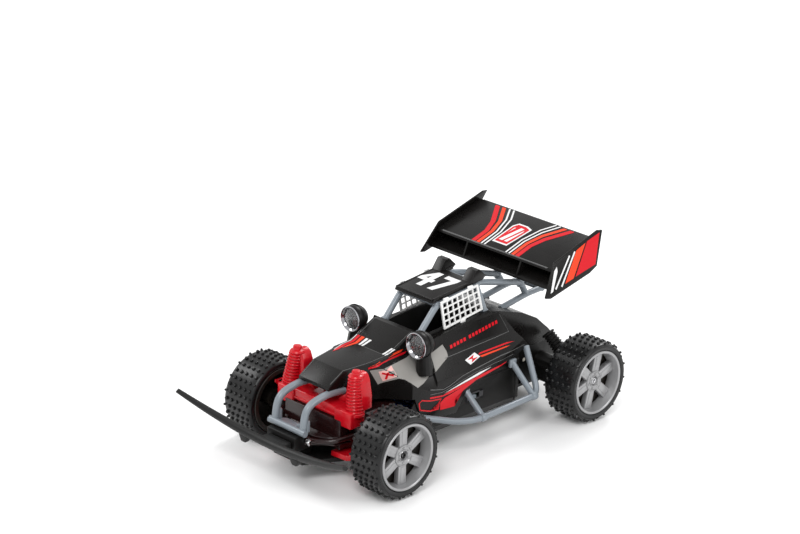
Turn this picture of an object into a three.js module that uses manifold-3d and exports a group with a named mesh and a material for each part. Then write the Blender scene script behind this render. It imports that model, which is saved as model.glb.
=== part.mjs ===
// A radio-controlled off-road buggy about 290 mm long, as a scene graph of separate named pieces.
// Millimetres. +X is the car's left side, +Y runs to its tail (it drives towards -Y), +Z is up.
// Inside the file Y = 0 is half-way between the axles and Z = 0 is the foot of the tyres' smooth
// tread; the last lines centre the car on its own box and stand it on its studs.
import * as THREE from "three";
import { mergeVertices } from "three/addons/utils/BufferGeometryUtils.js";
import Module from "manifold-3d";

const wasm = await Module();
wasm.setup();

// Driving dimensions.
const GAP = 0.3; // clearance between neighbouring pieces
const WHEELBASE = 192;
const FRONT_AXLE_Y = -WHEELBASE / 2;
const REAR_AXLE_Y = WHEELBASE / 2;
const TYRE_RADIUS = 30.2; // over the studs
const STUD_HEIGHT = 1.4;
const TYRE_WIDTH = 27;
const RIM_RADIUS = 23.5;
const WHEEL_X = 62.3; // middle of each tyre
const AXLE_Z = TYRE_RADIUS - STUD_HEIGHT;
const AXLE_RADIUS = 2.3;
const KINGPIN_X = 46;
const KINGPIN_RADIUS = 1.6;
const STEERING_ARM = 14; // kingpin to tie-bar pin
const STEERING_PIN_RADIUS = 1.2;
const TIE_BAR_Y = FRONT_AXLE_Y + STEERING_ARM;
const TUB_HALF_WIDTH = 37.5;
const TUB_FLOOR_Z = 11;
const TUB_TOP_Z = 56;
const TUB_FRONT_Y = -58;
const TUB_REAR_Y = 55;
const BODY_HALF_WIDTH = 41;
const SHELL = 1.8; // moulded wall
const CAGE_RADIUS = 2.3;
const LAMP = new THREE.Vector3(32, -46.5, 81.7); // middle of the lamp's front edge
const ROUND = 24; // facets of wheels

// Looks.
const BLACK = { color: 0x1c1b1c, roughness: 0.5, metalness: 0 };
const RUBBER = { color: 0x1a1a1b, roughness: 0.85, metalness: 0 };
const RED = { color: 0xc41420, roughness: 0.35, metalness: 0 };
const TUBE_GREY = { color: 0x8b939a, roughness: 0.45, metalness: 0.2 };
const RIM_GREY = { color: 0x8d8d8f, roughness: 0.4, metalness: 0.3 };
const STEEL = { color: 0xb5b5b5, roughness: 0.3, metalness: 1 };
const CHROME = { color: 0xd9d9d9, roughness: 0.1, metalness: 1 };
const WHITE = { color: 0xefefee, roughness: 0.5, metalness: 0 };
const CLEAR = { color: 0xe8eef0, roughness: 0.05, metalness: 0, transparent: true, opacity: 0.35 };
const NYLON = { color: 0xe6e2d4, roughness: 0.5, metalness: 0 };
const BOARD = { color: 0x1e6b3a, roughness: 0.5, metalness: 0 };

const car = new THREE.Group();

// Solids.
function fromVertices(positions, triangles) {
  return new wasm.Manifold(new wasm.Mesh({ numProp: 3, vertProperties: positions, triVerts: triangles }));
}

// A three.js geometry as a solid whose faces point out.
function solid(geometry) {
  const bare = geometry.clone();
  bare.deleteAttribute("normal");
  bare.deleteAttribute("uv");
  const merged = mergeVertices(bare, 1e-4);
  const triangles = new Uint32Array(merged.index.array);
  const positions = new Float32Array(merged.attributes.position.array);
  const made = fromVertices(positions, triangles);
  if (made.volume() > 0) return made;
  return fromVertices(positions, triangles.reverse());
}

const join = (...bodies) => bodies.reduce((whole, body) => whole.add(body));
const cut = (body, ...tools) => tools.reduce((left, tool) => left.subtract(tool), body);

function block(x0, x1, y0, y1, z0, z1) {
  const box = new THREE.BoxGeometry(x1 - x0, y1 - y0, z1 - z0);
  return solid(box.translate((x0 + x1) / 2, (y0 + y1) / 2, (z0 + z1) / 2));
}

// A straight round bar between two points.
function bar(from, to, radius, sides = 16, endRadius = radius) {
  const start = new THREE.Vector3(...from);
  const run = new THREE.Vector3(...to).sub(start);
  const geometry = new THREE.CylinderGeometry(endRadius, radius, run.length(), sides);
  geometry.translate(0, run.length() / 2, 0);
  geometry.applyQuaternion(
    new THREE.Quaternion().setFromUnitVectors(new THREE.Vector3(0, 1, 0), run.normalize()),
  );
  return solid(geometry.translate(start.x, start.y, start.z));
}

const alongX = (x0, x1, y, z, radius, sides) => bar([x0, y, z], [x1, y, z], radius, sides);
const alongZ = (z0, z1, x, y, radius, sides) => bar([x, y, z0], [x, y, z1], radius, sides);

// A flat outline pushed along X (outline in Y and Z), along Y (X and Z) or along Z (X and Y).
function pushed(outline, from, to, basis, origin) {
  const shape = new THREE.Shape(outline.map(([a, b]) => new THREE.Vector2(a, b)));
  const geometry = new THREE.ExtrudeGeometry(shape, { depth: to - from, bevelEnabled: false });
  return solid(geometry.applyMatrix4(basis.setPosition(...origin)));
}

const X = () => new THREE.Vector3(1, 0, 0);
const Y = () => new THREE.Vector3(0, 1, 0);
const Z = () => new THREE.Vector3(0, 0, 1);
const pushX = (outline, x0, x1) =>
  pushed(outline, x0, x1, new THREE.Matrix4().makeBasis(Y(), Z(), X()), [x0, 0, 0]);
const pushY = (outline, y0, y1) =>
  pushed(outline, y0, y1, new THREE.Matrix4().makeBasis(X(), Z(), Y().negate()), [0, y1, 0]);
const pushZ = (outline, z0, z1) => pushed(outline, z0, z1, new THREE.Matrix4(), [0, 0, z0]);

// The right half of an outline, followed by its mirror image.
const mirrored = (half) => [...half, ...half.toReversed().map(([x, other]) => [-x, other])];

function polygon(sides, radius) {
  return Array.from({ length: sides }, (_, i) => {
    const turn = (2 * Math.PI * i) / sides;
    return new THREE.Vector2(radius * Math.cos(turn), radius * Math.sin(turn));
  });
}

// A bent tube: straight runs between the points, with each corner rounded off.
function tube(points, radius, bend = 6, sides = 6) {
  const corners = points.map((p) => new THREE.Vector3(...p));
  const path = new THREE.CurvePath();
  let from = corners[0];
  for (let i = 1; i < corners.length - 1; i++) {
    const reach = Math.min(bend, from.distanceTo(corners[i]) / 2, corners[i].distanceTo(corners[i + 1]) / 2);
    const enter = corners[i].clone().add(from.clone().sub(corners[i]).setLength(reach));
    const leave = corners[i].clone().add(corners[i + 1].clone().sub(corners[i]).setLength(reach));
    path.add(new THREE.LineCurve3(from, enter));
    path.add(new THREE.QuadraticBezierCurve3(enter, corners[i], leave));
    from = leave;
  }
  path.add(new THREE.LineCurve3(from, corners.at(-1)));
  const steps = points.length > 2 ? Math.ceil(path.getLength() / 7) : 1;
  const section = new THREE.Shape(polygon(sides, radius));
  return solid(new THREE.ExtrudeGeometry(section, { steps, extrudePath: path }));
}

// A turned solid about the Y direction, from [radius, distance] pairs that start and end on the axis
// or close on themselves.
function turned(profile, segments = ROUND) {
  return solid(new THREE.LatheGeometry(profile.map(([r, t]) => new THREE.Vector2(r, t)), segments));
}

// Scene.
function add(name, body, look) {
  const { vertProperties, triVerts } = body.getMesh();
  const geometry = new THREE.BufferGeometry();
  geometry.setAttribute("position", new THREE.BufferAttribute(vertProperties, 3));
  geometry.setIndex(new THREE.BufferAttribute(triVerts, 1));
  geometry.computeVertexNormals();
  const mesh = new THREE.Mesh(geometry, new THREE.MeshStandardMaterial(look));
  mesh.name = name;
  car.add(mesh);
  return mesh;
}

// A piece of the left side and its mirror image on the right.
function addPair(name, body, look) {
  add(name + "_left", body, look);
  add(name + "_right", body, look).scale.x = -1;
}

const SCUTTLE_Y = -34; // where the hood meets the cockpit sides

// The body shell's outside, grown by `grow` (or shrunk, when it is negative).
function bodyForm(grow, openBelow) {
  const side = [
    [-111.5 - grow, 60.5], [-111.5 - grow, 63 + grow], [-98, 71.5 + grow], [-60, 73.5 + grow],
    [-38, 84.6 + grow], [-33.5 + grow, 84.6 + grow], [-33 + grow, 77.5 + grow],
      [36, 83 + grow], [45 + grow, 80 + grow],
    [50 + grow, 68], [61 + grow, 56],
  ];
  const lower = openBelow
    ? [[61 + grow, 0], [-111.5 - grow, 0]]
    : [[61 + grow, 54], [37, 50], [16, 46], [2, 42], [-5, 38], [-14, 26], [-46, 28], [-53, 46],
       [-86, 46], [-86, 60.5]];
  const plan = mirrored([
    [14.4 + grow, -130], [14.8 + grow, -98], [18 + grow, -78], [22 + grow, -70], [38 + grow, -55],
    [BODY_HALF_WIDTH + grow, -42], [BODY_HALF_WIDTH + grow, 30], [37.5 + grow, 58], [37.5 + grow, 80],
  ]);
  const doorSection = mirrored([
    [45 + grow, 0], [45 + grow, 45.7], [33.5 + grow, 69.5 + grow / 2],
    [24 + grow, 80 + grow], [20 + grow, 90 + grow],
  ]);
  const hoodSection = mirrored([
    [44 + grow, 0], [44 + grow, 44], [37 + grow, 58 + grow],
    [20 + grow, 70.5 + grow], [18.5 + grow, 90 + grow],
  ]);
  return pushX([...side, ...lower], -60, 60)
    .intersect(pushZ(plan, 0, 120))
    .intersect(pushY(hoodSection, -130, 0).add(pushY(doorSection, SCUTTLE_Y - grow, 80)));
}

const COCKPIT = { x: 19.6, front: -31.5, rear: 33.5 };
const COVER_HALF_WIDTH = 23.2;
const COVER_FLOOR_Z = 45;

function bodyShell() {
  return cut(
    bodyForm(0, false),
    bodyForm(-SHELL, true),
    block(-COCKPIT.x, COCKPIT.x, COCKPIT.front, COCKPIT.rear, 40, 120),
    block(-COVER_HALF_WIDTH - GAP, COVER_HALF_WIDTH + GAP, 37.5, 80, 30, 120),
  );
}

// The cockpit liner is an open tray that hangs in the body's opening.
function cockpitTray() {
  const x = COCKPIT.x - GAP;
  const [front, rear] = [COCKPIT.front + GAP, COCKPIT.rear - GAP];
  return cut(
    block(-x, x, front, rear, 58, 82),
    block(-x + 1.6, x - 1.6, front + 1.6, rear - 1.6, 59.6, 90),
    bodyForm(GAP, true).intersect(block(-60, 60, -80, -33, 0, 100)),
  ).intersect(pushX([[-34, 50], [34, 50], [34, 84.5], [-34, 79.2]], -30, 30));
}

// The rear cover over the motor: a bent sheet-like hood with closed sides.
function coverForm(grow, floor) {
  const outline = [
    [38 - grow, 57], [38 - grow, 82 + grow], [46, 80.5 + grow], [70, 73 + grow], [86, 65 + grow],
    [99 + grow, 54], [106.5 + grow, 46], [106.5 + grow, floor], [59, floor], [59, Math.min(57, floor + 15)],
  ];
  return pushX(outline, -COVER_HALF_WIDTH - grow, COVER_HALF_WIDTH + grow);
}

function engineCover() {
  const hollow = coverForm(-SHELL, 20).add(block(-21.4, 21.4, 40, 60, 30, 60));
  return cut(coverForm(0, COVER_FLOOR_Z), hollow);
}

// The chassis is one moulded tub, with a flat nose and a tongue under the gearbox.
const FRONT_FLOOR_Z = 13;
const TONGUE_Z = AXLE_Z - 16.5 - GAP; // just under the gearbox
const BATTERY_BAY = { x: 19.5, front: -50, rear: 14 };
const SWITCH = { y: 6, z: 31.5 };

function chassisTub() {
  const outline = mirrored([[TUB_HALF_WIDTH - 7, TUB_FLOOR_Z], [TUB_HALF_WIDTH, TUB_FLOOR_Z + 8],
    [TUB_HALF_WIDTH, 44], [TUB_HALF_WIDTH - 2.3, 46.5], [TUB_HALF_WIDTH - 2.3, TUB_TOP_Z]]);
  const inside = mirrored([[TUB_HALF_WIDTH - 8.5, TUB_FLOOR_Z + 2.5], [TUB_HALF_WIDTH - 2, TUB_FLOOR_Z + 9],
    [TUB_HALF_WIDTH - 2, 43], [TUB_HALF_WIDTH - 4.3, 45.5], [TUB_HALF_WIDTH - 4.3, TUB_TOP_Z + 5]]);
  const nose = mirrored([[14, -134], [27, -108], [27, TUB_FRONT_Y + 1]]);
  const cornerCut = pushX([[TUB_FRONT_Y - 1, 28], [-44, TUB_TOP_Z + 1],
    [TUB_FRONT_Y - 1, TUB_TOP_Z + 1]], -50, 50);
  return join(
    cut(pushY(outline, TUB_FRONT_Y, TUB_REAR_Y).intersect(bodyForm(-SHELL - GAP, true)),
      pushY(inside, TUB_FRONT_Y + 2, TUB_REAR_Y - 2), cornerCut,
      block(-24, 24, TUB_REAR_Y - 5, TUB_REAR_Y + 5, 17, 70)),
    pushZ(nose, FRONT_FLOOR_Z, FRONT_FLOOR_Z + 3),
    block(-14, 14, TUB_REAR_Y - 6, 110, TONGUE_Z - 2.2, TONGUE_Z),
    block(-22, -18.5, 20, 24, TUB_FLOOR_Z + 1, 22),
    block(18.5, 22, 20, 24, TUB_FLOOR_Z + 1, 22),
  )
    .subtract(block(-BATTERY_BAY.x, BATTERY_BAY.x, BATTERY_BAY.front, BATTERY_BAY.rear, 5, 20))
    .subtract(block(30, 45, SWITCH.y - 2.2, SWITCH.y + 6.2, SWITCH.z - 1.5, SWITCH.z + 1.5));
}

// The cover over the steering gear carries the nose deck and, on two ears, the tops of the kingpins.
function steeringCover() {
  const deck = mirrored([[13, -131], [29, -111], [29, -108]]);
  const ear = [[20, -104], [44, -101.5], [50.2, -99], [50.2, -93], [44, -90.5], [20, -88]];
  const roof = mirrored([[27, -112], [27, -60]]);
  const walls = cut(
    block(-27, 27, -112, -60, 22, 42),
    block(-25, 25, -110, -50, 10, 45),
    block(-30, 30, TIE_BAR_Y - 6.5, TIE_BAR_Y + 6.5, 20, 31),
  );
  const ears = join(pushZ(ear, 40.6, 42.8), pushZ(ear.map(([x, y]) => [-x, y]), 40.6, 42.8));
  return cut(
    join(pushZ(deck, 26.5, 29), pushZ(roof, 40.6, 42.8), walls, ears),
    alongZ(38, 45, KINGPIN_X, FRONT_AXLE_Y, KINGPIN_RADIUS + GAP, 12),
    alongZ(38, 45, -KINGPIN_X, FRONT_AXLE_Y, KINGPIN_RADIUS + GAP, 12),
  );
}

// Bumper: one bar that lifts towards its ends, on a block at the nose of the chassis.
const BUMPER_REACH = 83;

function frontBumper() {
  const points = [-1, -0.74, -0.47, -0.22, 0, 0.22, 0.47, 0.74, 1].map((reach) => {
    const x = reach * BUMPER_REACH;
    const lift = reach ** 2;
    return new THREE.Vector3(x, -149.5 - 11.3 * lift, 28 + 15.3 * lift);
  });
  const path = new THREE.CatmullRomCurve3(points);
  const section = polygon(8, 3.6);
  const bumperBar = new THREE.ExtrudeGeometry(new THREE.Shape(section), { steps: 16, extrudePath: path });
  return join(
    solid(bumperBar),
    alongZ(22.1, 28, 24.9, -150.2, 2.6, 10),
    alongZ(22.1, 28, -24.9, -150.2, 2.6, 10),
    block(-11, 11, -149.5, -141, 25, 31),
  );
}

function bumperMount() {
  return join(block(-13.5, 13.5, -140.7, -126, 24, 26.2), block(-13.5, 13.5, -140.7, -131.4, 24, 34.4),
    block(-9, 9, -131, -120, 16.3, 25));
}

// Nose cage: two tubes from under the hood down to a cross tube and a plate.
const CAGE_FOOT = { y: -134.8, z: 37.1 };

function noseCage() {
  const leg = (x) => tube([[x, -98, 57.2], [x, -111, 57.9], [x, -130.5, 55.6], [x, CAGE_FOOT.y + 1, 37]],
    CAGE_RADIUS, 9);
  const plate = mirrored([[13.6, CAGE_FOOT.y], [13.6, -130], [9, -126.5]]);
  return join(leg(13.6), leg(-13.6), alongX(-17, 17, CAGE_FOOT.y, CAGE_FOOT.z, CAGE_RADIUS, 12),
    pushZ(plate, 36, 38));
}

// Shock tower: a red beam with two towers and their moulded springs, all in one piece.
function shockTower() {
  const towerOutline = [[19.5, 50], [36.6, 50], [36, 60], [33, 72], [30.5, 75], [26, 75], [23, 73], [20, 63]];
  const side = (s) => join(
    pushY(towerOutline.map(([x, z]) => [s * x, z]), -103.5, -91),
    bar([s * 34.3, -101, 46.5], [s * 28.9, -98.8, 74], 5.4, 14, 4.6),
    bar([s * 28.5, -97.6, 73.5], [s * 28.5, -97.6, 77.8], 2.7, 12, 2.1),
    block(Math.min(s * 27, s * 34.5), Math.max(s * 27, s * 34.5), -108.5, -104.4, 38.6, 50.8),
  );
  return join(block(-29, 29, -110, -91, 43.1, 51), side(1), side(-1));
}

function lowerArm() {
  const outline = [[20, -113], [33, -112], [41, -103], [50.4, -99], [50.4, -93], [41, -90], [20, -88]];
  return cut(pushZ(outline, FRONT_FLOOR_Z + 3 + GAP, 20),
    alongZ(10, 25, KINGPIN_X, FRONT_AXLE_Y, KINGPIN_RADIUS + GAP, 12));
}

function knuckle() {
  return cut(
    join(
      alongZ(20.3, 40.3, KINGPIN_X, FRONT_AXLE_Y, 4.2, 16),
      alongX(KINGPIN_X, WHEEL_X - 8.4, FRONT_AXLE_Y, AXLE_Z, 4.6, 12),
      alongX(KINGPIN_X, WHEEL_X + 9, FRONT_AXLE_Y, AXLE_Z, AXLE_RADIUS, 12),
      block(KINGPIN_X - 2.5, KINGPIN_X + 2.5, FRONT_AXLE_Y, TIE_BAR_Y + 2.5, 21, 24),
      alongZ(23, 29, KINGPIN_X, TIE_BAR_Y, STEERING_PIN_RADIUS, 10),
    ),
    alongZ(10, 50, KINGPIN_X, FRONT_AXLE_Y, KINGPIN_RADIUS + GAP, 12),
    alongX(WHEEL_X + 1, WHEEL_X + 15, FRONT_AXLE_Y, AXLE_Z, 1.4, 10),
  );
}

const kingpin = () => join(
  alongZ(16.5, 43.5, KINGPIN_X, FRONT_AXLE_Y, KINGPIN_RADIUS, 12),
  alongZ(43.1, 44.9, KINGPIN_X, FRONT_AXLE_Y, 3.3, 16),
);

// Tie bar: it slides from side to side, with a slot over each steering pin and one over the servo's.
function tieBar() {
  const slot = (x) => block(x - 1.5, x + 1.5, TIE_BAR_Y - 2.4, TIE_BAR_Y + 1.6, 20, 35);
  const pad = (x) => block(x - 3.4, x + 3.4, TIE_BAR_Y - 4.3, TIE_BAR_Y + 3.4, 26, 28.5);
  return cut(
    join(block(-KINGPIN_X, KINGPIN_X, TIE_BAR_Y - 2.5, TIE_BAR_Y + 2.5, 26, 28.5), pad(KINGPIN_X),
      pad(-KINGPIN_X), block(-3.4, 3.4, TIE_BAR_Y - 3.4, TIE_BAR_Y + 4.3, 26, 28.5)),
    slot(KINGPIN_X),
    slot(-KINGPIN_X),
    block(-1.5, 1.5, TIE_BAR_Y - 1.6, TIE_BAR_Y + 2.4, 20, 35),
  );
}

const SERVO_Y = TIE_BAR_Y + STEERING_ARM;

function servoArm() {
  return join(alongZ(35.3, 38.5, 0, SERVO_Y, 4, 14), block(-2.4, 2.4, TIE_BAR_Y - 2.4, SERVO_Y, 35.3, 38.5),
    alongZ(26.2, 36, 0, TIE_BAR_Y, STEERING_PIN_RADIUS, 10));
}

// Wheels, built about their own middle with the outer face towards +X.
function wheelTurned(profile) {
  const points = profile.map(([r, t]) => new THREE.Vector2(r, t));
  return solid(new THREE.LatheGeometry(points, ROUND).rotateZ(-Math.PI / 2));
}

function rim() {
  const half = TYRE_WIDTH / 2 - 0.1;
  const ring = wheelTurned([
    [20.2, -half], [RIM_RADIUS, -half], [RIM_RADIUS, -half + 1.3], [21.6, -half + 1.3],
    [21.6, half - 1.3], [RIM_RADIUS, half - 1.3], [RIM_RADIUS, half], [20.2, half], [20.2, -half],
  ]);
  const spokes = [0, 1, 2, 3, 4, 5].map((i) => {
    const turn = (i * Math.PI) / 3;
    return solid(new THREE.BoxGeometry(3.2, 7.6, 16).translate(6.8, 0, 13).rotateX(turn));
  });
  return cut(join(ring, ...spokes, alongX(-8, 9.4, 0, 0, 7.8, 12)),
    alongX(-10, 12, 0, 0, AXLE_RADIUS + GAP, 12));
}

const tyre = () => wheelTurned([
  [21.9, -11.8], [23.8, -11.8], [23.8, -13.1], [26.4, -13.5], [28.9, -12.9], [TYRE_RADIUS, -11.2],
  [TYRE_RADIUS, 11.2], [28.9, 12.9], [26.4, 13.5], [23.8, 13.1], [23.8, 11.8], [21.9, 11.8], [21.9, -11.8],
]);

const wheelScrew = () => join(alongX(2, 10, 0, 0, 1.1, 10), alongX(9.7, 11.4, 0, 0, 3.4, 12));

function addWheels() {
  const corners = [
    ["front_left", 1, FRONT_AXLE_Y], ["front_right", -1, FRONT_AXLE_Y],
    ["rear_left", 1, REAR_AXLE_Y], ["rear_right", -1, REAR_AXLE_Y],
  ];
  for (const [place, side, y] of corners) {
    const pieces = [add("rim_" + place, rim(), RIM_GREY), add("tyre_" + place, tyre(), RUBBER),
      add("wheel_screw_" + place, wheelScrew(), STEEL)];
    for (const piece of pieces) {
      piece.scale.x = side;
      piece.position.set(side * WHEEL_X, y, AXLE_Z);
    }
  }
}

// Gear train: module 0.8, motor pinion 9 teeth, idler 30 and 10 teeth, axle gear 34 teeth.
const MODULE = 0.8;
const TEETH = { pinion: 9, idlerLarge: 30, idlerSmall: 10, axle: 34 };
const centres = (a, b) => ((a + b) * MODULE) / 2 + 0.25;
const IDLER_TILT = (15 * Math.PI) / 180;
const PINION_TILT = (8 * Math.PI) / 180;
const IDLER = {
  y: REAR_AXLE_Y - centres(TEETH.axle, TEETH.idlerSmall) * Math.cos(IDLER_TILT),
  z: AXLE_Z + centres(TEETH.axle, TEETH.idlerSmall) * Math.sin(IDLER_TILT),
};
const PINION = {
  y: IDLER.y - centres(TEETH.idlerLarge, TEETH.pinion) * Math.cos(PINION_TILT),
  z: IDLER.z + centres(TEETH.idlerLarge, TEETH.pinion) * Math.sin(PINION_TILT),
};
const GEARBOX = { from: 3.1, split: 11, to: 19.5 };

// A spur gear about X, with one tooth (or, half a pitch on, one gap) pointing along `facing` in Y and Z.
function gear(teeth, x0, x1, centre, facing, gapFirst) {
  const pitch = (2 * Math.PI) / teeth;
  const radius = (teeth * MODULE) / 2;
  const corners = [[-0.27, -1.2], [-0.11, 0.9], [0.11, 0.9], [0.27, -1.2]];
  const start = facing + (gapFirst ? pitch / 2 : 0);
  const outline = Array.from({ length: teeth }, (_, i) => corners.map(([turn, out]) => {
    const angle = start + (i + turn) * pitch;
    const r = radius + out * MODULE;
    return [centre.y + r * Math.cos(angle), centre.z + r * Math.sin(angle)];
  })).flat();
  return pushX(outline, x0, x1);
}

const AXLE_CENTRE = { y: REAR_AXLE_Y, z: AXLE_Z };
const TO_IDLER = Math.PI - IDLER_TILT; // from the axle
const TO_PINION = Math.PI - PINION_TILT; // from the idler

const axleGear = () => cut(
  gear(TEETH.axle, 12.2, 17, AXLE_CENTRE, TO_IDLER, false)
    .add(alongX(11.4, 17.5, REAR_AXLE_Y, AXLE_Z, 5, 16)),
  alongX(0, 30, REAR_AXLE_Y, AXLE_Z, AXLE_RADIUS + GAP, 16),
);

const idlerGear = () => join(
  gear(TEETH.idlerLarge, 5.4, 9.4, IDLER, TO_PINION, true),
  gear(TEETH.idlerSmall, 9, 17.2, IDLER, TO_IDLER + Math.PI, true),
  alongX(3.4, 19.2, IDLER.y, IDLER.z, 1.5, 12),
);

const motorPinion = () => join(
  gear(TEETH.pinion, 5.6, 9.6, PINION, TO_PINION + Math.PI, false),
  alongX(-1, 9.6, PINION.y, PINION.z, 1, 10),
);

function driveMotor() {
  const can = join(alongX(-20.5, 2.6, PINION.y, PINION.z, 11.5, 20),
    alongX(-21.5, -20, PINION.y, PINION.z, 4.5, 12));
  return cut(can, alongX(-2, 5, PINION.y, PINION.z, 1 + GAP, 10));
}

// The gearbox is split into two halves across X; each carries one tube of the rear axle beam.
function gearboxForm(shrink, x0, x1) {
  const [big, mid, small] = [16.5 - shrink, 15.4 - shrink, 6.7 - shrink];
  const axleEnd = alongX(x0, x1, REAR_AXLE_Y, AXLE_Z, big, 18);
  const idlerEnd = alongX(x0, x1, IDLER.y, IDLER.z, mid, 18);
  const pinionEnd = alongX(x0, x1, PINION.y, PINION.z, small, 12);
  const bridge = block(x0, x1, IDLER.y, REAR_AXLE_Y, AXLE_Z - big + 3, AXLE_Z + big + 1);
  return join(axleEnd, idlerEnd, pinionEnd, bridge);
}

function gearboxHalf(from, to, tubeFrom, tubeTo) {
  return cut(
    join(gearboxForm(0, from, to), alongX(tubeFrom, tubeTo, REAR_AXLE_Y, AXLE_Z, 7, 12)),
    gearboxForm(1.6, GEARBOX.from + 1.6, GEARBOX.to - 1.6),
    alongX(-60, 60, REAR_AXLE_Y, AXLE_Z, AXLE_RADIUS + GAP, 12),
    alongX(0, 30, IDLER.y, IDLER.z, 1.8, 12),
    alongX(0, 8, PINION.y, PINION.z, 1 + GAP, 10),
  );
}

const rearAxle = () => cut(
  alongX(-WHEEL_X - 9, WHEEL_X + 9, REAR_AXLE_Y, AXLE_Z, AXLE_RADIUS, 12),
  alongX(WHEEL_X + 1, WHEEL_X + 15, REAR_AXLE_Y, AXLE_Z, 1.4, 10),
  alongX(-WHEEL_X - 15, -WHEEL_X - 1, REAR_AXLE_Y, AXLE_Z, 1.4, 10),
);

// Roll cage, with the stays that hold up the wing moulded on behind it.
function rollCage() {
  const side = (s) => join(
    tube([[s * 17, -28.5, 81], [s * 17.2, -12.8, 98.6],
      [s * 16.2, 27, 103.2], [s * 18.6, 35, 80]], CAGE_RADIUS, 4),
    tube([[s * 14.6, 27.6, 103.2], [s * 12.9, 34, 102.4], [s * 11, 80, 90.3], [s * 10.8, 86.5, 79.4]],
      CAGE_RADIUS, 6),
    tube([[s * 11, 54, 72.6], [s * 11, 88, 79.8], [s * 11, 104, 80.4]], CAGE_RADIUS, 4),
    bar([s * 11, 80, 90], [s * 11, 78, 107.2], 2.6, 6),
  );
  const across = (y, z, x) => alongX(-x, x, y, z, CAGE_RADIUS, 6);
  return cut(
    join(side(1), side(-1), across(-12, 98.7, 17), across(27.5, 103.2, 16), across(103, 80.4, 12)),
    bodyForm(GAP, true),
    coverForm(GAP, COVER_FLOOR_Z),
    block(-30, 30, -30, 34, 50, 79),
  );
}

function roofPanel() {
  const outline = [[-18.2, 100.6], [-17, 103.3], [31, 108.6], [31, 106.3], [-15, 101.4]];
  const horn = [[18, 106.6], [24, 114.8], [28, 114.8], [34.6, 108.8], [31, 106]];
  return join(
    cut(pushX(outline, -18.5, 18.5), block(-9.5, 9.5, 23, 60, 90, 130)),
    pushX(horn, 10.5, 18.5),
    pushX(horn, -18.5, -10.5),
  );
}

// Window net: a white lattice of four rows and seven columns of slots.
function windowNet() {
  const lower = [[-8.6, 80.4], [29.4, 85.6]];
  const upper = [[-13, 101.2], [23.4, 105.2]];
  const at = (u, v) => [0, 1].map((k) => {
    const low = lower[0][k] + u * (lower[1][k] - lower[0][k]);
    return low + v * (upper[0][k] + u * (upper[1][k] - upper[0][k]) - low);
  });
  let net = pushX([at(0, 0), at(1, 0), at(1, 1), at(0, 1)], 20.4, 21.8);
  for (let row = 0; row < 4; row++)
    for (let column = 0; column < 7; column++) {
      const [u, v] = [0.07 + column * 0.127, 0.08 + row * 0.225];
      net = net.subtract(pushX([at(u, v), at(u + 0.085, v), at(u + 0.085, v + 0.16), at(u, v + 0.16)],
        15, 25));
    }
  return net;
}

// Rear wing: a box-section blade, open to the front, between two splayed end plates.
const plateX = (y, z) => 82.85 + 0.069 * y - 0.2665 * z;

// Leans a shape that was drawn about X = 0 into the end plate's plane.
function leaned(body) {
  const { vertProperties, triVerts } = body.getMesh();
  const leant = vertProperties.slice();
  for (let i = 0; i < leant.length; i += 3) leant[i] += plateX(leant[i + 1], leant[i + 2]);
  return fromVertices(leant, triVerts);
}

function wingBlade() {
  const outer = [[57.7, 103.2], [97, 113.2], [101, 116], [105.6, 129.2], [105, 130.3], [62.6, 116.8]];
  const hollow = [[50, 103], [58, 104.9], [96, 114.8], [99, 117], [103, 128], [62.8, 115.2], [50, 111]];
  const rib = [[57.9, 104], [97, 114], [103.4, 128.8], [62.7, 116]];
  const ends = [1, -1].map((s) => {
    const outside = leaned(pushX([[40, 80], [130, 80], [130, 150], [40, 150]], -GAP, 40));
    if (s === 1) return outside;
    const { vertProperties, triVerts } = outside.getMesh();
    return fromVertices(vertProperties.map((v, i) => (i % 3 ? v : -v)), triVerts.slice().reverse());
  });
  return cut(join(cut(pushX(outer, -64, 64), pushX(hollow, -70, 70)), pushX(rib, 25, 26.4),
    pushX(rib, -26.4, -25)), ...ends);
}

function wingEndPlate() {
  const outline = [[50, 99.9], [55, 98.9], [95.2, 108.4], [102.7, 111.8], [112.8, 135], [108, 135.6],
    [63, 121.9]];
  return leaned(pushX(outline, 0, 1.6));
}

// Side guard tubes, cut off square where they meet the tub and the body.
function sideGuard() {
  const rail = tube([[37, -50, 32], [52, -24, 25.6], [57.5, -10, 25], [55, 55, 25], [36, 60, 58]],
    CAGE_RADIUS, 6);
  const struts = join(tube([[57.2, -4, 25], [36, -3, 40]], CAGE_RADIUS),
    tube([[55.2, 50, 25], [36, 42, 51]], CAGE_RADIUS));
  return cut(join(rail, struts),
    block(-60, TUB_HALF_WIDTH + GAP, -80, TUB_REAR_Y + GAP, 0, 60), bodyForm(GAP, false),
    block(-60, BODY_HALF_WIDTH + GAP, -60, -10, 26, 60));
}

// Headlamps: a black bowl on a pod, a chrome reflector with its bezel, and a clear lens.
const lampTurned = (profile) => turned(profile, 16).translate([LAMP.x, LAMP.y, LAMP.z]);

function lampHousing() {
  const bowl = lampTurned([[0, 13], [4, 12.4], [8.4, 9], [9.8, 4], [9.8, 0], [8.4, 0], [8.4, 4], [7.3, 7.9],
    [3.5, 11], [0, 11.5]]);
  const pod = bar([34, -40, 60], [32.6, -40, 74.5], 6.2, 14, 5);
  const cavity = lampTurned([[0, -5], [8.4, -5], [8.4, 4], [7.3, 7.9], [3.5, 11], [0, 11.5]]);
  return cut(join(bowl, pod), cavity, bodyForm(GAP, true));
}

const lampReflector = () => lampTurned([[0, 10.9], [3.2, 10.4], [6.8, 7.3], [8, 3.5], [8, -GAP], [9.7, -GAP],
  [9.7, -1.4], [8.3, -1.4], [7.2, -0.2], [7.2, 3.5], [6, 6.7], [2.8, 9.4], [0, 9.9]]);

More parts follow.
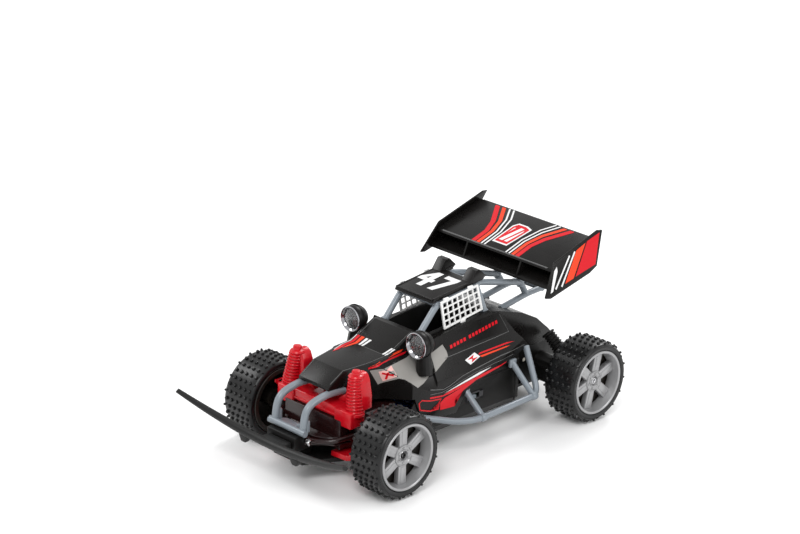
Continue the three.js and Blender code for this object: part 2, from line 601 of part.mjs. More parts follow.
const lampLens = () => lampTurned([[0, -0.6], [4, -0.4], [6.8, 0.4], [6.8, 2], [0, 2]]);

// Assembly, from the chassis up.
add("chassis_tub", chassisTub(), BLACK);
add("battery_pack", block(-16, 16, -42, 10, 14.2, 30), BOARD);
add("battery_door", block(-19, 19, BATTERY_BAY.front + 0.5, BATTERY_BAY.rear - 0.5, 11.3, 13.5)
  .subtract(alongZ(0, 12.6, 0, BATTERY_BAY.front + 5, 2.9, 12))
  .subtract(alongZ(0, 20, 0, BATTERY_BAY.front + 5, 1.4 + GAP, 12)), BLACK);
add("battery_door_screw", join(alongZ(11.3, 12.3, 0, BATTERY_BAY.front + 5, 2.5, 12),
  alongZ(12, 16, 0, BATTERY_BAY.front + 5, 1.2, 10)), STEEL);
add("circuit_board", block(-25, 25, 17, 46, 22.3, 24), BOARD);
add("power_switch", join(block(34.2, 35.1, SWITCH.y - 5, SWITCH.y + 9, SWITCH.z - 3.5, SWITCH.z + 3.5)
  .intersect(block(30, 36, SWITCH.y - 4, SWITCH.y + 4, 20, 40)),
  block(35, 39.2, SWITCH.y - 1.7, SWITCH.y + 1.7, SWITCH.z - 1.2, SWITCH.z + 1.2)), TUBE_GREY);
add("steering_cover", steeringCover(), BLACK);
add("servo_case", block(-14, 14, -77, -59, FRONT_FLOOR_Z + 3 + GAP, 35), BLACK);
add("servo_arm", servoArm(), NYLON);
add("tie_bar", tieBar(), BLACK);
addPair("lower_arm", lowerArm(), RED);
addPair("knuckle", knuckle(), BLACK);
addPair("kingpin", kingpin(), STEEL);
add("bumper_mount", bumperMount(), BLACK);
add("front_bumper", frontBumper(), BLACK);
add("nose_cage", noseCage(), TUBE_GREY);
add("front_shock_tower", shockTower(), RED);
add("gearbox_left", gearboxHalf(GEARBOX.split + GAP / 2, GEARBOX.to, GEARBOX.to - 1, 46), BLACK);
add("gearbox_right", gearboxHalf(GEARBOX.from, GEARBOX.split - GAP / 2, -46, GEARBOX.from + 1), BLACK);
add("drive_motor", driveMotor(), STEEL);
add("motor_pinion", motorPinion(), NYLON);
add("idler_gear", idlerGear(), NYLON);
add("axle_gear", axleGear(), NYLON);
add("rear_axle", rearAxle(), STEEL);
addWheels();
addPair("rear_shock", bar([28.9, 92, 54], [38, 95.5, 43], 5, 14), BLACK);
add("body_shell", bodyShell(), BLACK);
add("cockpit_tray", cockpitTray(), BLACK);
add("engine_cover", engineCover(), BLACK);
addPair("side_guard", sideGuard(), TUBE_GREY);
add("roll_cage", rollCage(), TUBE_GREY);
add("roof_panel", roofPanel(), BLACK);
addPair("window_net", windowNet(), WHITE);
addPair("headlamp_housing", lampHousing(), BLACK);
addPair("headlamp_reflector", lampReflector(), CHROME);
addPair("headlamp_lens", lampLens(), CLEAR);
add("wing_blade", wingBlade(), BLACK);
addPair("wing_end_plate", wingEndPlate(), BLACK);

// Origin under the middle of the car's own box.
const box = new THREE.Box3().setFromObject(car, true);
car.position.set(-(box.min.x + box.max.x) / 2, -(box.min.y + box.max.y) / 2, -box.min.z);

export default car;
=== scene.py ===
# A radio-controlled off-road buggy toy, finished piece by piece in the order it is put together.
import math

import bmesh
import bpy
from mathutils import Matrix, Vector
from mathutils.bvhtree import BVHTree


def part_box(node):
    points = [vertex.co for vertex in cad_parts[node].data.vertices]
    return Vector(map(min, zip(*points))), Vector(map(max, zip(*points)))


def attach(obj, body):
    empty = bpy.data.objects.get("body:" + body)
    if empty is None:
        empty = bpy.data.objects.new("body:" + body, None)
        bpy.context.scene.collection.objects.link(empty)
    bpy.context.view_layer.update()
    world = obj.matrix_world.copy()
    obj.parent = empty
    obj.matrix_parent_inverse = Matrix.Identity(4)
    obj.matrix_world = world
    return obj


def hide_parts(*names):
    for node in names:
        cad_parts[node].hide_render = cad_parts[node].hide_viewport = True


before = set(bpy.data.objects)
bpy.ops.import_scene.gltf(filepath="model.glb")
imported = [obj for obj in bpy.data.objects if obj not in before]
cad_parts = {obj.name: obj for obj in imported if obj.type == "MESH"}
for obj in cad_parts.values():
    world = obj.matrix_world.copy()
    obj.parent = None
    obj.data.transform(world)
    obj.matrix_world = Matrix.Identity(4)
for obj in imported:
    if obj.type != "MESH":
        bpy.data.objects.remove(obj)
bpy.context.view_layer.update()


# ---------------------------------------------------------------------------------------------
# The car's own frame: millimetres, Y = 0 half-way between the axles, Z = 0 at the foot of the
# smooth tread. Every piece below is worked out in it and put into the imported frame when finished.
def middle(node):
    low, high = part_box(node)
    return (Vector(low) + Vector(high)) / 2


MM = 0.001
TREAD_RADIUS = 28.8
front_hub, rear_hub = middle("tyre_front_left"), middle("tyre_rear_left")
CAR = Matrix.Translation((0, (front_hub.y + rear_hub.y) / 2, rear_hub.z - TREAD_RADIUS * MM)) @ Matrix.Scale(MM, 4)
FRONT_AXLE_Y, REAR_AXLE_Y = (CAR.inverted() @ front_hub).y, (CAR.inverted() @ rear_hub).y
WHEEL_X = front_hub.x / MM


# ---------------------------------------------------------------------------------------------
# The camera stands ahead of the car's left front wheel and looks a little down on it.
CAMERA_TURN, CAMERA_RISE, CAMERA_ROLL = (math.radians(angle) for angle in (43.39, 23.19, 2.4))
CAMERA_DISTANCE = 1818.1
CAR_CENTRE = Vector((0, 0, 32))
AIM_LEFT, AIM_ABOVE = 19.81, 80.57


def camera():
    turn, raise_by, roll = CAMERA_TURN, CAMERA_RISE, CAMERA_ROLL
    back = Vector((math.sin(turn) * math.cos(raise_by), -math.cos(turn) * math.cos(raise_by), math.sin(raise_by)))
    level = Vector((math.cos(turn), math.sin(turn), 0))
    upright = back.cross(level)
    right = level * math.cos(roll) + upright * math.sin(roll)
    up = upright * math.cos(roll) - level * math.sin(roll)
    stand = CAR_CENTRE + back * CAMERA_DISTANCE
    aim = CAR_CENTRE - right * AIM_LEFT + up * AIM_ABOVE
    away = (stand - aim).normalized()
    across = up.cross(away).normalized()
    facing = Matrix((across, away.cross(across), away)).transposed().to_4x4()
    data = bpy.data.cameras.new("camera")
    data.lens, data.sensor_width = 116.2, 36
    data.clip_start, data.clip_end = 0.05, 20
    seen_by = bpy.data.objects.new("camera", data)
    seen_by.matrix_world = Matrix.Translation(CAR @ stand) @ facing
    bpy.context.scene.collection.objects.link(seen_by)
    bpy.context.scene.camera = seen_by


# The floor is a plain pale sheet, lit by large soft lamps from above, from both sides and behind.
def lamp(name, place, size, power, tint=(1, 1, 1)):
    data = bpy.data.lights.new(name, "AREA")
    data.shape, data.size, data.energy, data.color = "DISK", size, power, tint
    light = bpy.data.objects.new(name, data)
    light.location = place
    light.rotation_euler = (Vector((0, 0, 0.05)) - Vector(place)).to_track_quat("-Z", "Y").to_euler()
    bpy.context.scene.collection.objects.link(light)


def studio():
    sheet = bmesh.new()
    bmesh.ops.create_grid(sheet, x_segments=1, y_segments=1, size=6)
    mesh = bpy.data.meshes.new("floor")
    sheet.to_mesh(mesh)
    sheet.free()
    floor = bpy.data.objects.new("floor", mesh)
    bpy.context.scene.collection.objects.link(floor)
    paper = bpy.data.materials.new("pale_floor")
    paper.use_nodes = True
    shader = paper.node_tree.nodes["Principled BSDF"]
    shader.inputs["Base Color"].default_value = (0.93, 0.93, 0.93, 1)
    shader.inputs["Roughness"].default_value = 0.9
    mesh.materials.append(paper)
    lamp("key", (0.7, -1.1, 1.5), 0.7, 13)
    lamp("fill", (1.6, 0.5, 0.9), 0.8, 7)
    lamp("far_side", (-1.3, -0.5, 1.1), 0.7, 8)
    lamp("rim", (-0.4, 1.4, 1.2), 0.7, 12)
    world = bpy.data.worlds.new("studio")
    world.use_nodes = True
    world.node_tree.nodes["Background"].inputs["Color"].default_value = (1, 1, 1, 1)
    world.node_tree.nodes["Background"].inputs["Strength"].default_value = 0.85
    bpy.context.scene.world = world
    bpy.context.scene.view_settings.view_transform = "Standard"


camera()
studio()


# ---------------------------------------------------------------------------------------------
# Chassis tub: one black moulding with a fine spark-eroded grain. The box on each side has a rolled
# top edge and a hatch line, and the floor has low ribs and screw bosses.
def stuff(name, colour, roughness, metallic=0.0, grain=2600.0, relief=0.05, mottle=0.12, patch=90.0, shine=0.5):
    """A moulded or painted surface: colour that drifts a little, uneven gloss and a fine grain."""
    material = bpy.data.materials.new(name)
    material.use_nodes = True
    nodes, links = material.node_tree.nodes, material.node_tree.links
    shader = nodes["Principled BSDF"]
    shader.inputs["Metallic"].default_value = metallic
    shader.inputs["Specular IOR Level"].default_value = shine
    place = nodes.new("ShaderNodeTexCoord")
    drift, fine = nodes.new("ShaderNodeTexNoise"), nodes.new("ShaderNodeTexNoise")
    for noise, scale, detail in ((drift, patch, 4), (fine, grain, 2)):
        noise.inputs["Scale"].default_value = scale
        noise.inputs["Detail"].default_value = detail
        links.new(place.outputs["Object"], noise.inputs["Vector"])
    blend = nodes.new("ShaderNodeMix")
    blend.data_type = "RGBA"
    blend.name = "tone"
    blend.inputs["A"].default_value = (*[c * (1 - mottle) for c in colour], 1)
    blend.inputs["B"].default_value = (*[min(1, c * (1 + mottle) + 0.002) for c in colour], 1)
    links.new(drift.outputs["Fac"], blend.inputs["Factor"])
    links.new(blend.outputs["Result"], shader.inputs["Base Color"])
    gloss = nodes.new("ShaderNodeMapRange")
    gloss.inputs["To Min"].default_value = max(0.03, roughness - 0.09)
    gloss.inputs["To Max"].default_value = roughness + 0.09
    links.new(drift.outputs["Fac"], gloss.inputs["Value"])
    links.new(gloss.outputs["Result"], shader.inputs["Roughness"])
    bump = nodes.new("ShaderNodeBump")
    bump.inputs["Strength"].default_value = relief * 4
    bump.inputs["Distance"].default_value = 0.0001
    links.new(fine.outputs["Fac"], bump.inputs["Height"])
    links.new(bump.outputs["Normal"], shader.inputs["Normal"])
    return material


def piece(name, bm, body, material, stands_for=(), crease=32):
    """Puts a finished mesh, worked out in the car's frame, into the scene on its body."""
    bmesh.ops.transform(bm, matrix=CAR, verts=bm.verts)
    mesh = bpy.data.meshes.new(name)
    bm.to_mesh(mesh)
    bm.free()
    mesh.shade_smooth()
    mesh.set_sharp_from_angle(angle=math.radians(crease))
    made = bpy.data.objects.new(name, mesh)
    bpy.context.scene.collection.objects.link(made)
    mesh.materials.append(material)
    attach(made, body)
    if stands_for:
        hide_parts(*stands_for)
    return made


def cad_copy(node):
    """A merged copy of a CAD solid in the car's frame, with its flat faces whole again."""
    bm = bmesh.new()
    bm.from_mesh(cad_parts[node].data)
    bmesh.ops.transform(bm, matrix=CAR.inverted(), verts=bm.verts)
    bmesh.ops.remove_doubles(bm, verts=bm.verts, dist=0.002)
    bmesh.ops.dissolve_limit(bm, angle_limit=math.radians(0.5), verts=bm.verts, edges=bm.edges)
    return bm


def soften(bm, width, segments=2, angle=20):
    """Rounds every edge that turns by more than `angle` degrees."""
    sharp = [e for e in bm.edges if e.is_manifold and e.calc_face_angle(0) > math.radians(angle)]
    bmesh.ops.bevel(bm, geom=sharp, offset=width, offset_type="OFFSET", segments=segments, profile=0.5,
                    affect="EDGES", clamp_overlap=True, material=-1)
    return bm


def softened(node, width, body, material, segments=2, angle=20):
    return piece(node + "_moulding", soften(cad_copy(node), width, segments, angle), body, material, [node])


def slab(bm, outline, axis, low, high, width=0.3, segments=2):
    """A flat outline pushed along an axis (0, 1 or 2), with its edges rounded by `width`."""
    others = [i for i in range(3) if i != axis]
    corners = []
    for point in outline:
        place = [low, low, low]
        place[others[0]], place[others[1]] = point
        corners.append(bm.verts.new(place))
    face = bm.faces.new(corners)
    grown = bmesh.ops.extrude_face_region(bm, geom=[face])
    top = [v for v in grown["geom"] if isinstance(v, bmesh.types.BMVert)]
    push = Vector((0, 0, 0))
    push[axis] = high - low
    bmesh.ops.translate(bm, verts=top, vec=push)
    shape = corners + top
    faces = list({f for v in shape for f in v.link_faces})
    bmesh.ops.recalc_face_normals(bm, faces=faces)
    if width:
        edges = list({e for v in shape for e in v.link_edges})
        made = bmesh.ops.bevel(bm, geom=edges, offset=width, offset_type="OFFSET", segments=segments,
                               profile=0.5, affect="EDGES", clamp_overlap=True, material=-1)
        shape = list({v for f in made["faces"] for v in f.verts} | {v for v in shape if v.is_valid})
    return shape


def box_slab(bm, x, y, z, width=0.3, segments=2):
    return slab(bm, [(x[0], y[0]), (x[1], y[0]), (x[1], y[1]), (x[0], y[1])], 2, z[0], z[1], width, segments)


def add_in(bm, other):
    """Puts a second shape into the first, and frees it."""
    mesh = bpy.data.meshes.new("part")
    other.to_mesh(mesh)
    other.free()
    bm.from_mesh(mesh)
    bpy.data.meshes.remove(mesh)


def span(side, near, far):
    """A stretch of X on one side of the car, lowest first."""
    return tuple(sorted((side * near, side * far)))


def both_sides(bm):
    """Adds the mirror image across the car's middle plane."""
    half = bmesh.ops.duplicate(bm, geom=bm.verts[:] + bm.edges[:] + bm.faces[:])
    verts = [v for v in half["geom"] if isinstance(v, bmesh.types.BMVert)]
    faces = [f for f in half["geom"] if isinstance(f, bmesh.types.BMFace)]
    bmesh.ops.scale(bm, vec=(-1, 1, 1), verts=verts)
    bmesh.ops.reverse_faces(bm, faces=faces)
    return bm


black = stuff("black_moulding", (0.0045, 0.0042, 0.004), 0.38, shine=0.22)
tub = cad_copy("chassis_tub")
soften(tub, 0.7)
extras = bmesh.new()
box_slab(extras, (37.2, 37.9), (-40, 48), (41.6, 42.8), 0.25)
box_slab(extras, (37.2, 37.8), (49, 50.2), (16, 42), 0.25)
for rib in range(5):
    box_slab(extras, (20 + 0.2, 30), (24 + rib * 5.5, 25 + rib * 5.5), (10.4, 11.2), 0.15)
for corner_y in (20, 52):
    bmesh.ops.create_cone(extras, cap_ends=True, segments=20, radius1=2.6, radius2=2.6, depth=1.2,
                          matrix=Matrix.Translation((25, corner_y, 10.9)))
both_sides(extras)
add_in(tub, extras)
piece("chassis_moulding", tub, "chassis", black, ["chassis_tub"])


# ---------------------------------------------------------------------------------------------
# Battery: six short cells in two rows, in a blue shrink wrap, behind a ribbed door on the underside
# that one cross-head screw holds shut.
wrap = stuff("blue_wrap", (0.02, 0.07, 0.32), 0.28, grain=900, relief=0.02)
cells = bmesh.new()
CELL_RADIUS = 7.0
for column in (-8.1, 8.1):
    for centre_y in (-34.5, -19.7, -4.9):
        rod = bmesh.ops.create_cone(cells, cap_ends=True, segments=28, radius1=CELL_RADIUS, radius2=CELL_RADIUS,
                                    depth=15, matrix=Matrix.Translation((column, centre_y, 22))
                                    @ Matrix.Rotation(math.pi / 2, 4, "Y"))
        rims = [e for e in {e for v in rod["verts"] for e in v.link_edges} if e.calc_face_angle(0) > 1]
        bmesh.ops.bevel(cells, geom=rims, offset=0.8, segments=3, profile=0.5, affect="EDGES", material=-1)
piece("battery_cells", cells, "chassis", wrap, ["battery_pack"])

door = soften(cad_copy("battery_door"), 0.5)
ribs = bmesh.new()
for rib in range(7):
    box_slab(ribs, (-14, 14), (-36 + rib * 6, -34.4 + rib * 6), (10.9, 11.6), 0.2)
add_in(door, ribs)
piece("battery_door_moulding", door, "battery_door", black, ["battery_door"])


# Steel screws: a flat or domed head with a cross slot pressed into it, and a plain shank.
steel = stuff("bright_steel", (0.56, 0.56, 0.57), 0.24, 1.0, grain=3200, relief=0.03, mottle=0.05)


def lathe(bm, profile, centre, axis, steps=48):
    """Spins [radius, distance] pairs about a line through `centre` along `axis`."""
    axis = Vector(axis).normalized()
    aside = axis.orthogonal().normalized()
    rail = [bm.verts.new(Vector(centre) + aside * r + axis * t) for r, t in profile]
    links = [bm.edges.new(pair) for pair in zip(rail, rail[1:])]
    made = bmesh.ops.spin(bm, geom=rail + links, cent=centre, axis=axis, dvec=(0, 0, 0), angle=2 * math.pi,
                          steps=steps, use_merge=True)
    verts = list({v for e in made["geom_last"] for v in (e.verts if hasattr(e, "verts") else [e])} | set(rail))
    whole, edge = set(verts), verts
    while edge:
        edge = [e.other_vert(v) for v in edge for e in v.link_edges if e.other_vert(v) not in whole]
        whole.update(edge)
    bmesh.ops.remove_doubles(bm, verts=list(whole), dist=0.002)
    return [v for v in whole if v.is_valid]


def close_normals(bm):
    bmesh.ops.recalc_face_normals(bm, faces=bm.faces)
    return bm


def screw(name, centre, axis, head, shank, length, body, stands_for):
    """A pan-head screw whose head faces along `axis`, with a cross in its recess."""
    bm = bmesh.new()
    thick = head * 0.42
    lathe(bm, [(0, -length), (shank * 0.6, -length), (shank, -length + shank), (shank, 0), (head, 0),
               (head, thick * 0.45), (head * 0.86, thick * 0.8), (head * 0.58, thick), (head * 0.5, thick * 0.35),
               (0, thick * 0.3)], centre, axis, 32)
    close_normals(bm)
    direction = Vector(axis).normalized().to_track_quat("Z", "Y").to_matrix().to_4x4()
    cross = bmesh.new()
    for long_side, short_side in ((head * 0.5, head * 0.09), (head * 0.09, head * 0.5)):
        box_slab(cross, (-long_side, long_side), (-short_side, short_side), (thick * 0.3, thick * 0.62), 0.05, 1)
    bmesh.ops.transform(cross, matrix=Matrix.Translation(centre) @ direction, verts=cross.verts)
    add_in(bm, cross)
    return piece(name, bm, body, steel, stands_for)


screw("battery_door_fixing", (0, -45, 12.35), (0, 0, -1), 2.5, 1.1, 3.6, "battery_door", ["battery_door_screw"])


# ---------------------------------------------------------------------------------------------
# Circuit board: green laminate with copper tracks, two black chips, a crystal can and capacitors.
laminate = stuff("green_laminate", (0.012, 0.11, 0.04), 0.3, grain=1400, relief=0.03)
tracks = laminate.node_tree.nodes.new("ShaderNodeTexVoronoi")
tracks.distance, tracks.feature = "CHEBYCHEV", "DISTANCE_TO_EDGE"
tracks.inputs["Scale"].default_value = 260
copper = laminate.node_tree.nodes.new("ShaderNodeMapRange")
copper.inputs["From Max"].default_value = 0.08
copper.inputs["To Min"].default_value = 1
copper.inputs["To Max"].default_value = 0
paint = laminate.node_tree.nodes.new("ShaderNodeMix")
paint.data_type = "RGBA"
paint.inputs["B"].default_value = (0.03, 0.24, 0.08, 1)
laminate.node_tree.links.new(laminate.node_tree.nodes["Texture Coordinate"].outputs["Object"], tracks.inputs["Vector"])
laminate.node_tree.links.new(tracks.outputs["Distance"], copper.inputs["Value"])
laminate.node_tree.links.new(copper.outputs["Result"], paint.inputs["Factor"])
laminate.node_tree.links.new(laminate.node_tree.nodes["tone"].outputs["Result"], paint.inputs["A"])
laminate.node_tree.links.new(paint.outputs["Result"],
                             laminate.node_tree.nodes["Principled BSDF"].inputs["Base Color"])
softened("circuit_board", 0.15, "chassis", laminate, 1)
parts_on_board = bmesh.new()
for x, y, wide, deep, tall in ((-9, 30, 7, 9, 1.6), (8, 34, 5, 5, 1.4), (17, 24, 2.2, 5, 3.2), (-18, 40, 3, 3, 6),
                               (-19, 22, 4, 3, 2.4)):
    box_slab(parts_on_board, (x - wide, x + wide), (y - deep / 2, y + deep / 2), (24.05, 24 + tall), 0.3)
piece("board_components", parts_on_board, "chassis", black)


# Power switch: a small grey thumb slide with grip ridges, in a slot in the tub's left side.
tube_grey = stuff("grey_tube_plastic", (0.2, 0.228, 0.256), 0.36, 0.15, grain=2000, relief=0.035, mottle=0.07)
slide = soften(cad_copy("power_switch"), 0.2)
ridges = bmesh.new()
for ridge in (-0.9, 0, 0.9):
    box_slab(ridges, (38.8, 39.5), (6 + ridge - 0.2, 6 + ridge + 0.2), (30.5, 32.5), 0.1, 1)
add_in(slide, ridges)
piece("switch_slide", slide, "power_switch", tube_grey, ["power_switch"])
plate = bmesh.new()
box_slab(plate, (37.45, 38.1), (-0.5, 4), (28.4, 34.6), 0.25)
box_slab(plate, (37.45, 38.1), (12, 16), (28.4, 34.6), 0.25)
box_slab(plate, (37.45, 38.1), (-0.5, 16), (33.4, 34.6), 0.25)
box_slab(plate, (37.45, 38.1), (-0.5, 16), (28.4, 29.6), 0.25)
piece("switch_surround", plate, "chassis", stuff("grey_black", (0.035, 0.035, 0.038), 0.5, shine=0.3))


# ---------------------------------------------------------------------------------------------
# Steering: a glossy cover with the nose deck, the servo and its nylon arm, the sliding tie bar,
# red lower arms, knuckles, and kingpins capped with red star washers.
glossy_black = stuff("glossy_black", (0.014, 0.0035, 0.0035), 0.16, relief=0.02, shine=0.4)
red = stuff("red_moulding", (0.5, 0.003, 0.01), 0.24, relief=0.025, mottle=0.1, shine=0.34)
nylon = stuff("natural_nylon", (0.74, 0.71, 0.62), 0.38, relief=0.03, mottle=0.05)
softened("steering_cover", 0.5, "chassis", glossy_black)
softened("servo_case", 0.7, "chassis", black)
softened("servo_arm", 0.3, "servo_arm", nylon)
softened("tie_bar", 0.3, "tie_bar", black)
KINGPIN_X = 46
for side, mark in ((1, "left"), (-1, "right")):
    softened("lower_arm_" + mark, 0.6, "chassis", red)
    softened("knuckle_" + mark, 0.35, "knuckle_" + mark, black)
    pin = bmesh.new()
    lathe(pin, [(0, 16.5), (1.3, 16.5), (1.6, 17), (1.6, 43), (3.3, 43), (3.3, 43.9), (2.9, 44.6), (2, 45.0),
                (0, 45.2)], (side * KINGPIN_X, FRONT_AXLE_Y, 0), (0, 0, 1), 32)
    piece("kingpin_pin_" + mark, close_normals(pin), "chassis",
          stuff("bright_plating_" + mark, (0.8, 0.8, 0.82), 0.12, 1.0, relief=0.01), ["kingpin_" + mark])
    star = bmesh.new()
    lathe(star, [(3.4, 43.1), (5.4, 43.1), (5.4, 44.4), (4.9, 44.9), (3.8, 44.9), (3.4, 44.4), (3.4, 43.1)],
          (side * KINGPIN_X, FRONT_AXLE_Y, 0), (0, 0, 1), 32)
    for spoke in range(4):
        arm = slab(star, [(3.6, -0.7), (6.2, -0.5), (6.2, 0.5), (3.6, 0.7)], 2, 43.1, 45.2, 0.2)
        turn = Matrix.Rotation((spoke + 0.5) * math.pi / 2, 3, "Z")
        bmesh.ops.rotate(star, verts=arm, cent=(0, 0, 0), matrix=turn)
        bmesh.ops.translate(star, verts=arm, vec=(side * KINGPIN_X, FRONT_AXLE_Y, 0))
    piece("kingpin_washer_" + mark, close_normals(star), "chassis", red)


# ---------------------------------------------------------------------------------------------
# Front bumper: a thick black bar that sweeps back and up to its ends, with tapered gusset tabs
# under it, bolted to a block on the nose.
def pipe(bm, points, radius, bend=6.0, sides=16):
    """A round tube along straight runs, with its corners rounded off and its ends capped."""
    corners = [Vector(p) for p in points]
    path = [corners[0]]
    for before, corner, after in zip(corners, corners[1:], corners[2:]):
        reach = min(bend, (corner - before).length / 2, (after - corner).length / 2)
        enter = corner + (before - corner).normalized() * reach
        leave = corner + (after - corner).normalized() * reach
        for step in range(7):
            u = step / 6
            path.append(enter * (1 - u) ** 2 + corner * 2 * u * (1 - u) + leave * u ** 2)
    path.append(corners[-1])
    path = [path[0]] + [b for a, b in zip(path, path[1:]) if (b - a).length > 0.01]
    normal = (path[1] - path[0]).orthogonal().normalized()
    rings = []
    for i, place in enumerate(path):
        ahead = (path[min(i + 1, len(path) - 1)] - path[max(i - 1, 0)]).normalized()
        normal = (normal - ahead * normal.dot(ahead)).normalized()
        ring = bmesh.ops.create_circle(bm, segments=sides, radius=radius)["verts"]
        turn = Matrix((normal, ahead.cross(normal), ahead)).transposed().to_4x4()
        bmesh.ops.transform(bm, matrix=Matrix.Translation(place) @ turn, verts=ring)
        rings.append(ring)
    edges = [list({e for v in ring for e in v.link_edges}) for ring in rings]
    for one, two in zip(edges, edges[1:]):
        bmesh.ops.bridge_loops(bm, edges=one + two)
    for ring, place, tip in ((rings[0], path[0], path[0] - path[1]), (rings[-1], path[-1], path[-1] - path[-2])):
        cap = bm.faces.new(ring)
        bmesh.ops.inset_region(bm, faces=[cap], thickness=radius * 0.3)
        bmesh.ops.translate(bm, verts=cap.verts, vec=tip.normalized() * radius * 0.22)
    return [v for ring in rings for v in ring]


BAR_HALF, BAR_Y, BAR_Z = 81.8, -149.5, 28
BAR_SWEEP, BAR_LIFT = 11.3, 15.3


def reach_points(count):
    """Points along the bar, which sweeps back and up as the square of the way out."""
    parts = [-1 + 2 * i / (count - 1) for i in range(count)]
    return [(part * BAR_HALF, BAR_Y - BAR_SWEEP * part ** 2, BAR_Z + BAR_LIFT * part ** 2) for part in parts]


bumper = bmesh.new()
pipe(bumper, reach_points(17), 3.6, bend=4, sides=20)
for vert in bumper.verts:
    part = vert.co.x / BAR_HALF
    core = Vector((vert.co.x, BAR_Y - BAR_SWEEP * part ** 2, BAR_Z + BAR_LIFT * part ** 2))
    vert.co = core + (vert.co - core) * (0.86 - 0.38 * part ** 2)
for x in (-24.9, 24.9):
    gusset = slab(bumper, [(-5, 0), (5, 0), (2.2, -5.2), (-2.2, -5.2)], 1, -152.2, -148.4, 0.8, 3)
    bmesh.ops.translate(bumper, verts=[v for v in gusset if v.is_valid], vec=(x, 0, 27.4))
box_slab(bumper, (-11, 11), (-149.5, -141), (25, 31), 1.0, 3)
piece("bumper_bar", close_normals(bumper), "chassis",
      stuff("bumper_black", (0.008, 0.008, 0.0078), 0.44, grain=1300, relief=0.07, shine=0.26), ["front_bumper"])
softened("bumper_mount", 0.9, "chassis", black, 3)
tray = bmesh.new()
slab(tray, [(-16, -127), (16, -127), (28.4, -118.6), (32, -106), (-32, -106), (-28.4, -118.6)], 2, 27.4, 28.8, 0.4)
pipe(tray, [(-33, -106, 33.2), (-29, -118.8, 31), (-16, -127.6, 29.2), (16, -127.6, 29.2), (29, -118.8, 31),
            (33, -106, 33.2)], 1.7, 6, 16)
pipe(tray, [(-27, -106, 30.6), (-23, -115, 30), (-12, -121.5, 29.4), (12, -121.5, 29.4), (23, -115, 30),
            (27, -106, 30.6)], 0.9, 5, 12)
piece("nose_tray", close_normals(tray), "chassis", glossy_black)
for x in (-15, 15):
    screw("nose_fixing_" + ("left" if x > 0 else "right"), (x, -130, 30), (0, -0.3, 1), 2.2, 1.1, 4, "chassis", ())


# ---------------------------------------------------------------------------------------------
# Nose cage: two grey moulded tubes that come out of the hood, bend down and end on a cross tube
# and a small plate with a hole in it.
def make_nose_cage():
    bm = bmesh.new()
    for x in (-13.6, 13.6):
        pipe(bm, [(x, -97, 57.2), (x, -112, 58.6), (x, -131.2, 54.4), (x, -133.4, 37.4)], 2.6, 9, 18)
        box_slab(bm, (x - 2.4, x + 2.4), (-131.8, -128.8), (36.6, 45), 0.8, 3)
    pipe(bm, [(-17, -134.8, 37.1), (17, -134.8, 37.1)], 2.35, 1, 18)
    slab(bm, [(-13.6, -134.8), (13.6, -134.8), (13.6, -130), (9, -126.5), (-9, -126.5), (-13.6, -130)], 2, 36, 38, 0.5)
    lathe(bm, [(1.1, 38.05), (2.3, 38.05), (2.3, 38.5), (1.9, 38.7), (1.3, 38.5), (1.1, 38.05)],
          (5.3, -130.2, 0), (0, 0, 1), 24)
    return close_normals(bm)


piece("nose_cage_tubes", make_nose_cage(), "chassis", tube_grey, ["nose_cage"])


# ---------------------------------------------------------------------------------------------
# Front shock tower: one bright red moulding, a beam with a rounded tower at each end. Each tower
# carries a moulded coil spring of eleven turns with a stepped cap and a knob on top.
def coil(bm, foot, top, foot_radius, top_radius, turns, depth=0.85, steps=28):
    """A moulded spring: a stack of rounded rings that narrows upwards."""
    foot, top = Vector(foot), Vector(top)
    length = (top - foot).length
    profile = [(0, 0), (foot_radius - depth, 0)]
    for turn in range(turns):
        for part, out in ((0.12, 0.0), (0.3, 0.8), (0.5, 1.0), (0.7, 0.8), (0.88, 0.0)):
            t = (turn + part) / turns
            radius = foot_radius + (top_radius - foot_radius) * t
            profile.append((radius - depth * (1 - out), t * length))
    profile += [(top_radius - depth, length), (0, length)]
    return lathe(bm, profile, foot, top - foot, steps)


def make_shock_tower():
    bm = bmesh.new()
    box_slab(bm, (-29.5, 29.5), (-110, -91), (43.1, 51), 1.0, 3)
    box_slab(bm, (-26.5, 26.5), (-110.6, -108.8), (44.4, 46), 0.6, 2)
    for side in (-1, 1):
        plate = [(19.5, 50), (36.4, 50), (36.2, 60), (34, 70), (32.3, 73.6), (30, 75), (26.4, 75), (23.6, 73),
                 (21.4, 68), (20, 60)]
        slab(bm, [(side * x, z) for x, z in plate], 1, -101.3, -91.5, 1.3, 3)
        coil(bm, (side * 31.6, -103.6, 48.5), (side * 28.8, -101.0, 72.4), 6.3, 5.0, 11, 1.15)
        lathe(bm, [(0, 0), (6.5, 0), (6.9, 0.6), (6.9, 1.8), (6.2, 2.5), (0, 2.5)],
              (side * 31.7, -103.5, 46.4), (side * -0.11, 0.1, 1), 32)
        lathe(bm, [(0, 0), (5.2, 0), (5.4, 0.8), (4.6, 1.9), (3.1, 2.4), (3.1, 4.3), (2.7, 5.0), (1.6, 5.3), (0, 5.3)],
              (side * 28.7, -100.2, 72.4), (0, 0.05, 1), 32)
        box_slab(bm, span(side, 20, 36), (-111.4, -98), (39.2, 50.8), 1.2, 3)
        slab(bm, [(side * 19.2, 51), (side * 11, 51), (side * 19.2, 57.5)], 1, -100, -95.5, 0.5)
    return close_normals(bm)


piece("shock_tower_moulding", make_shock_tower(), "chassis", red, ["front_shock_tower"])


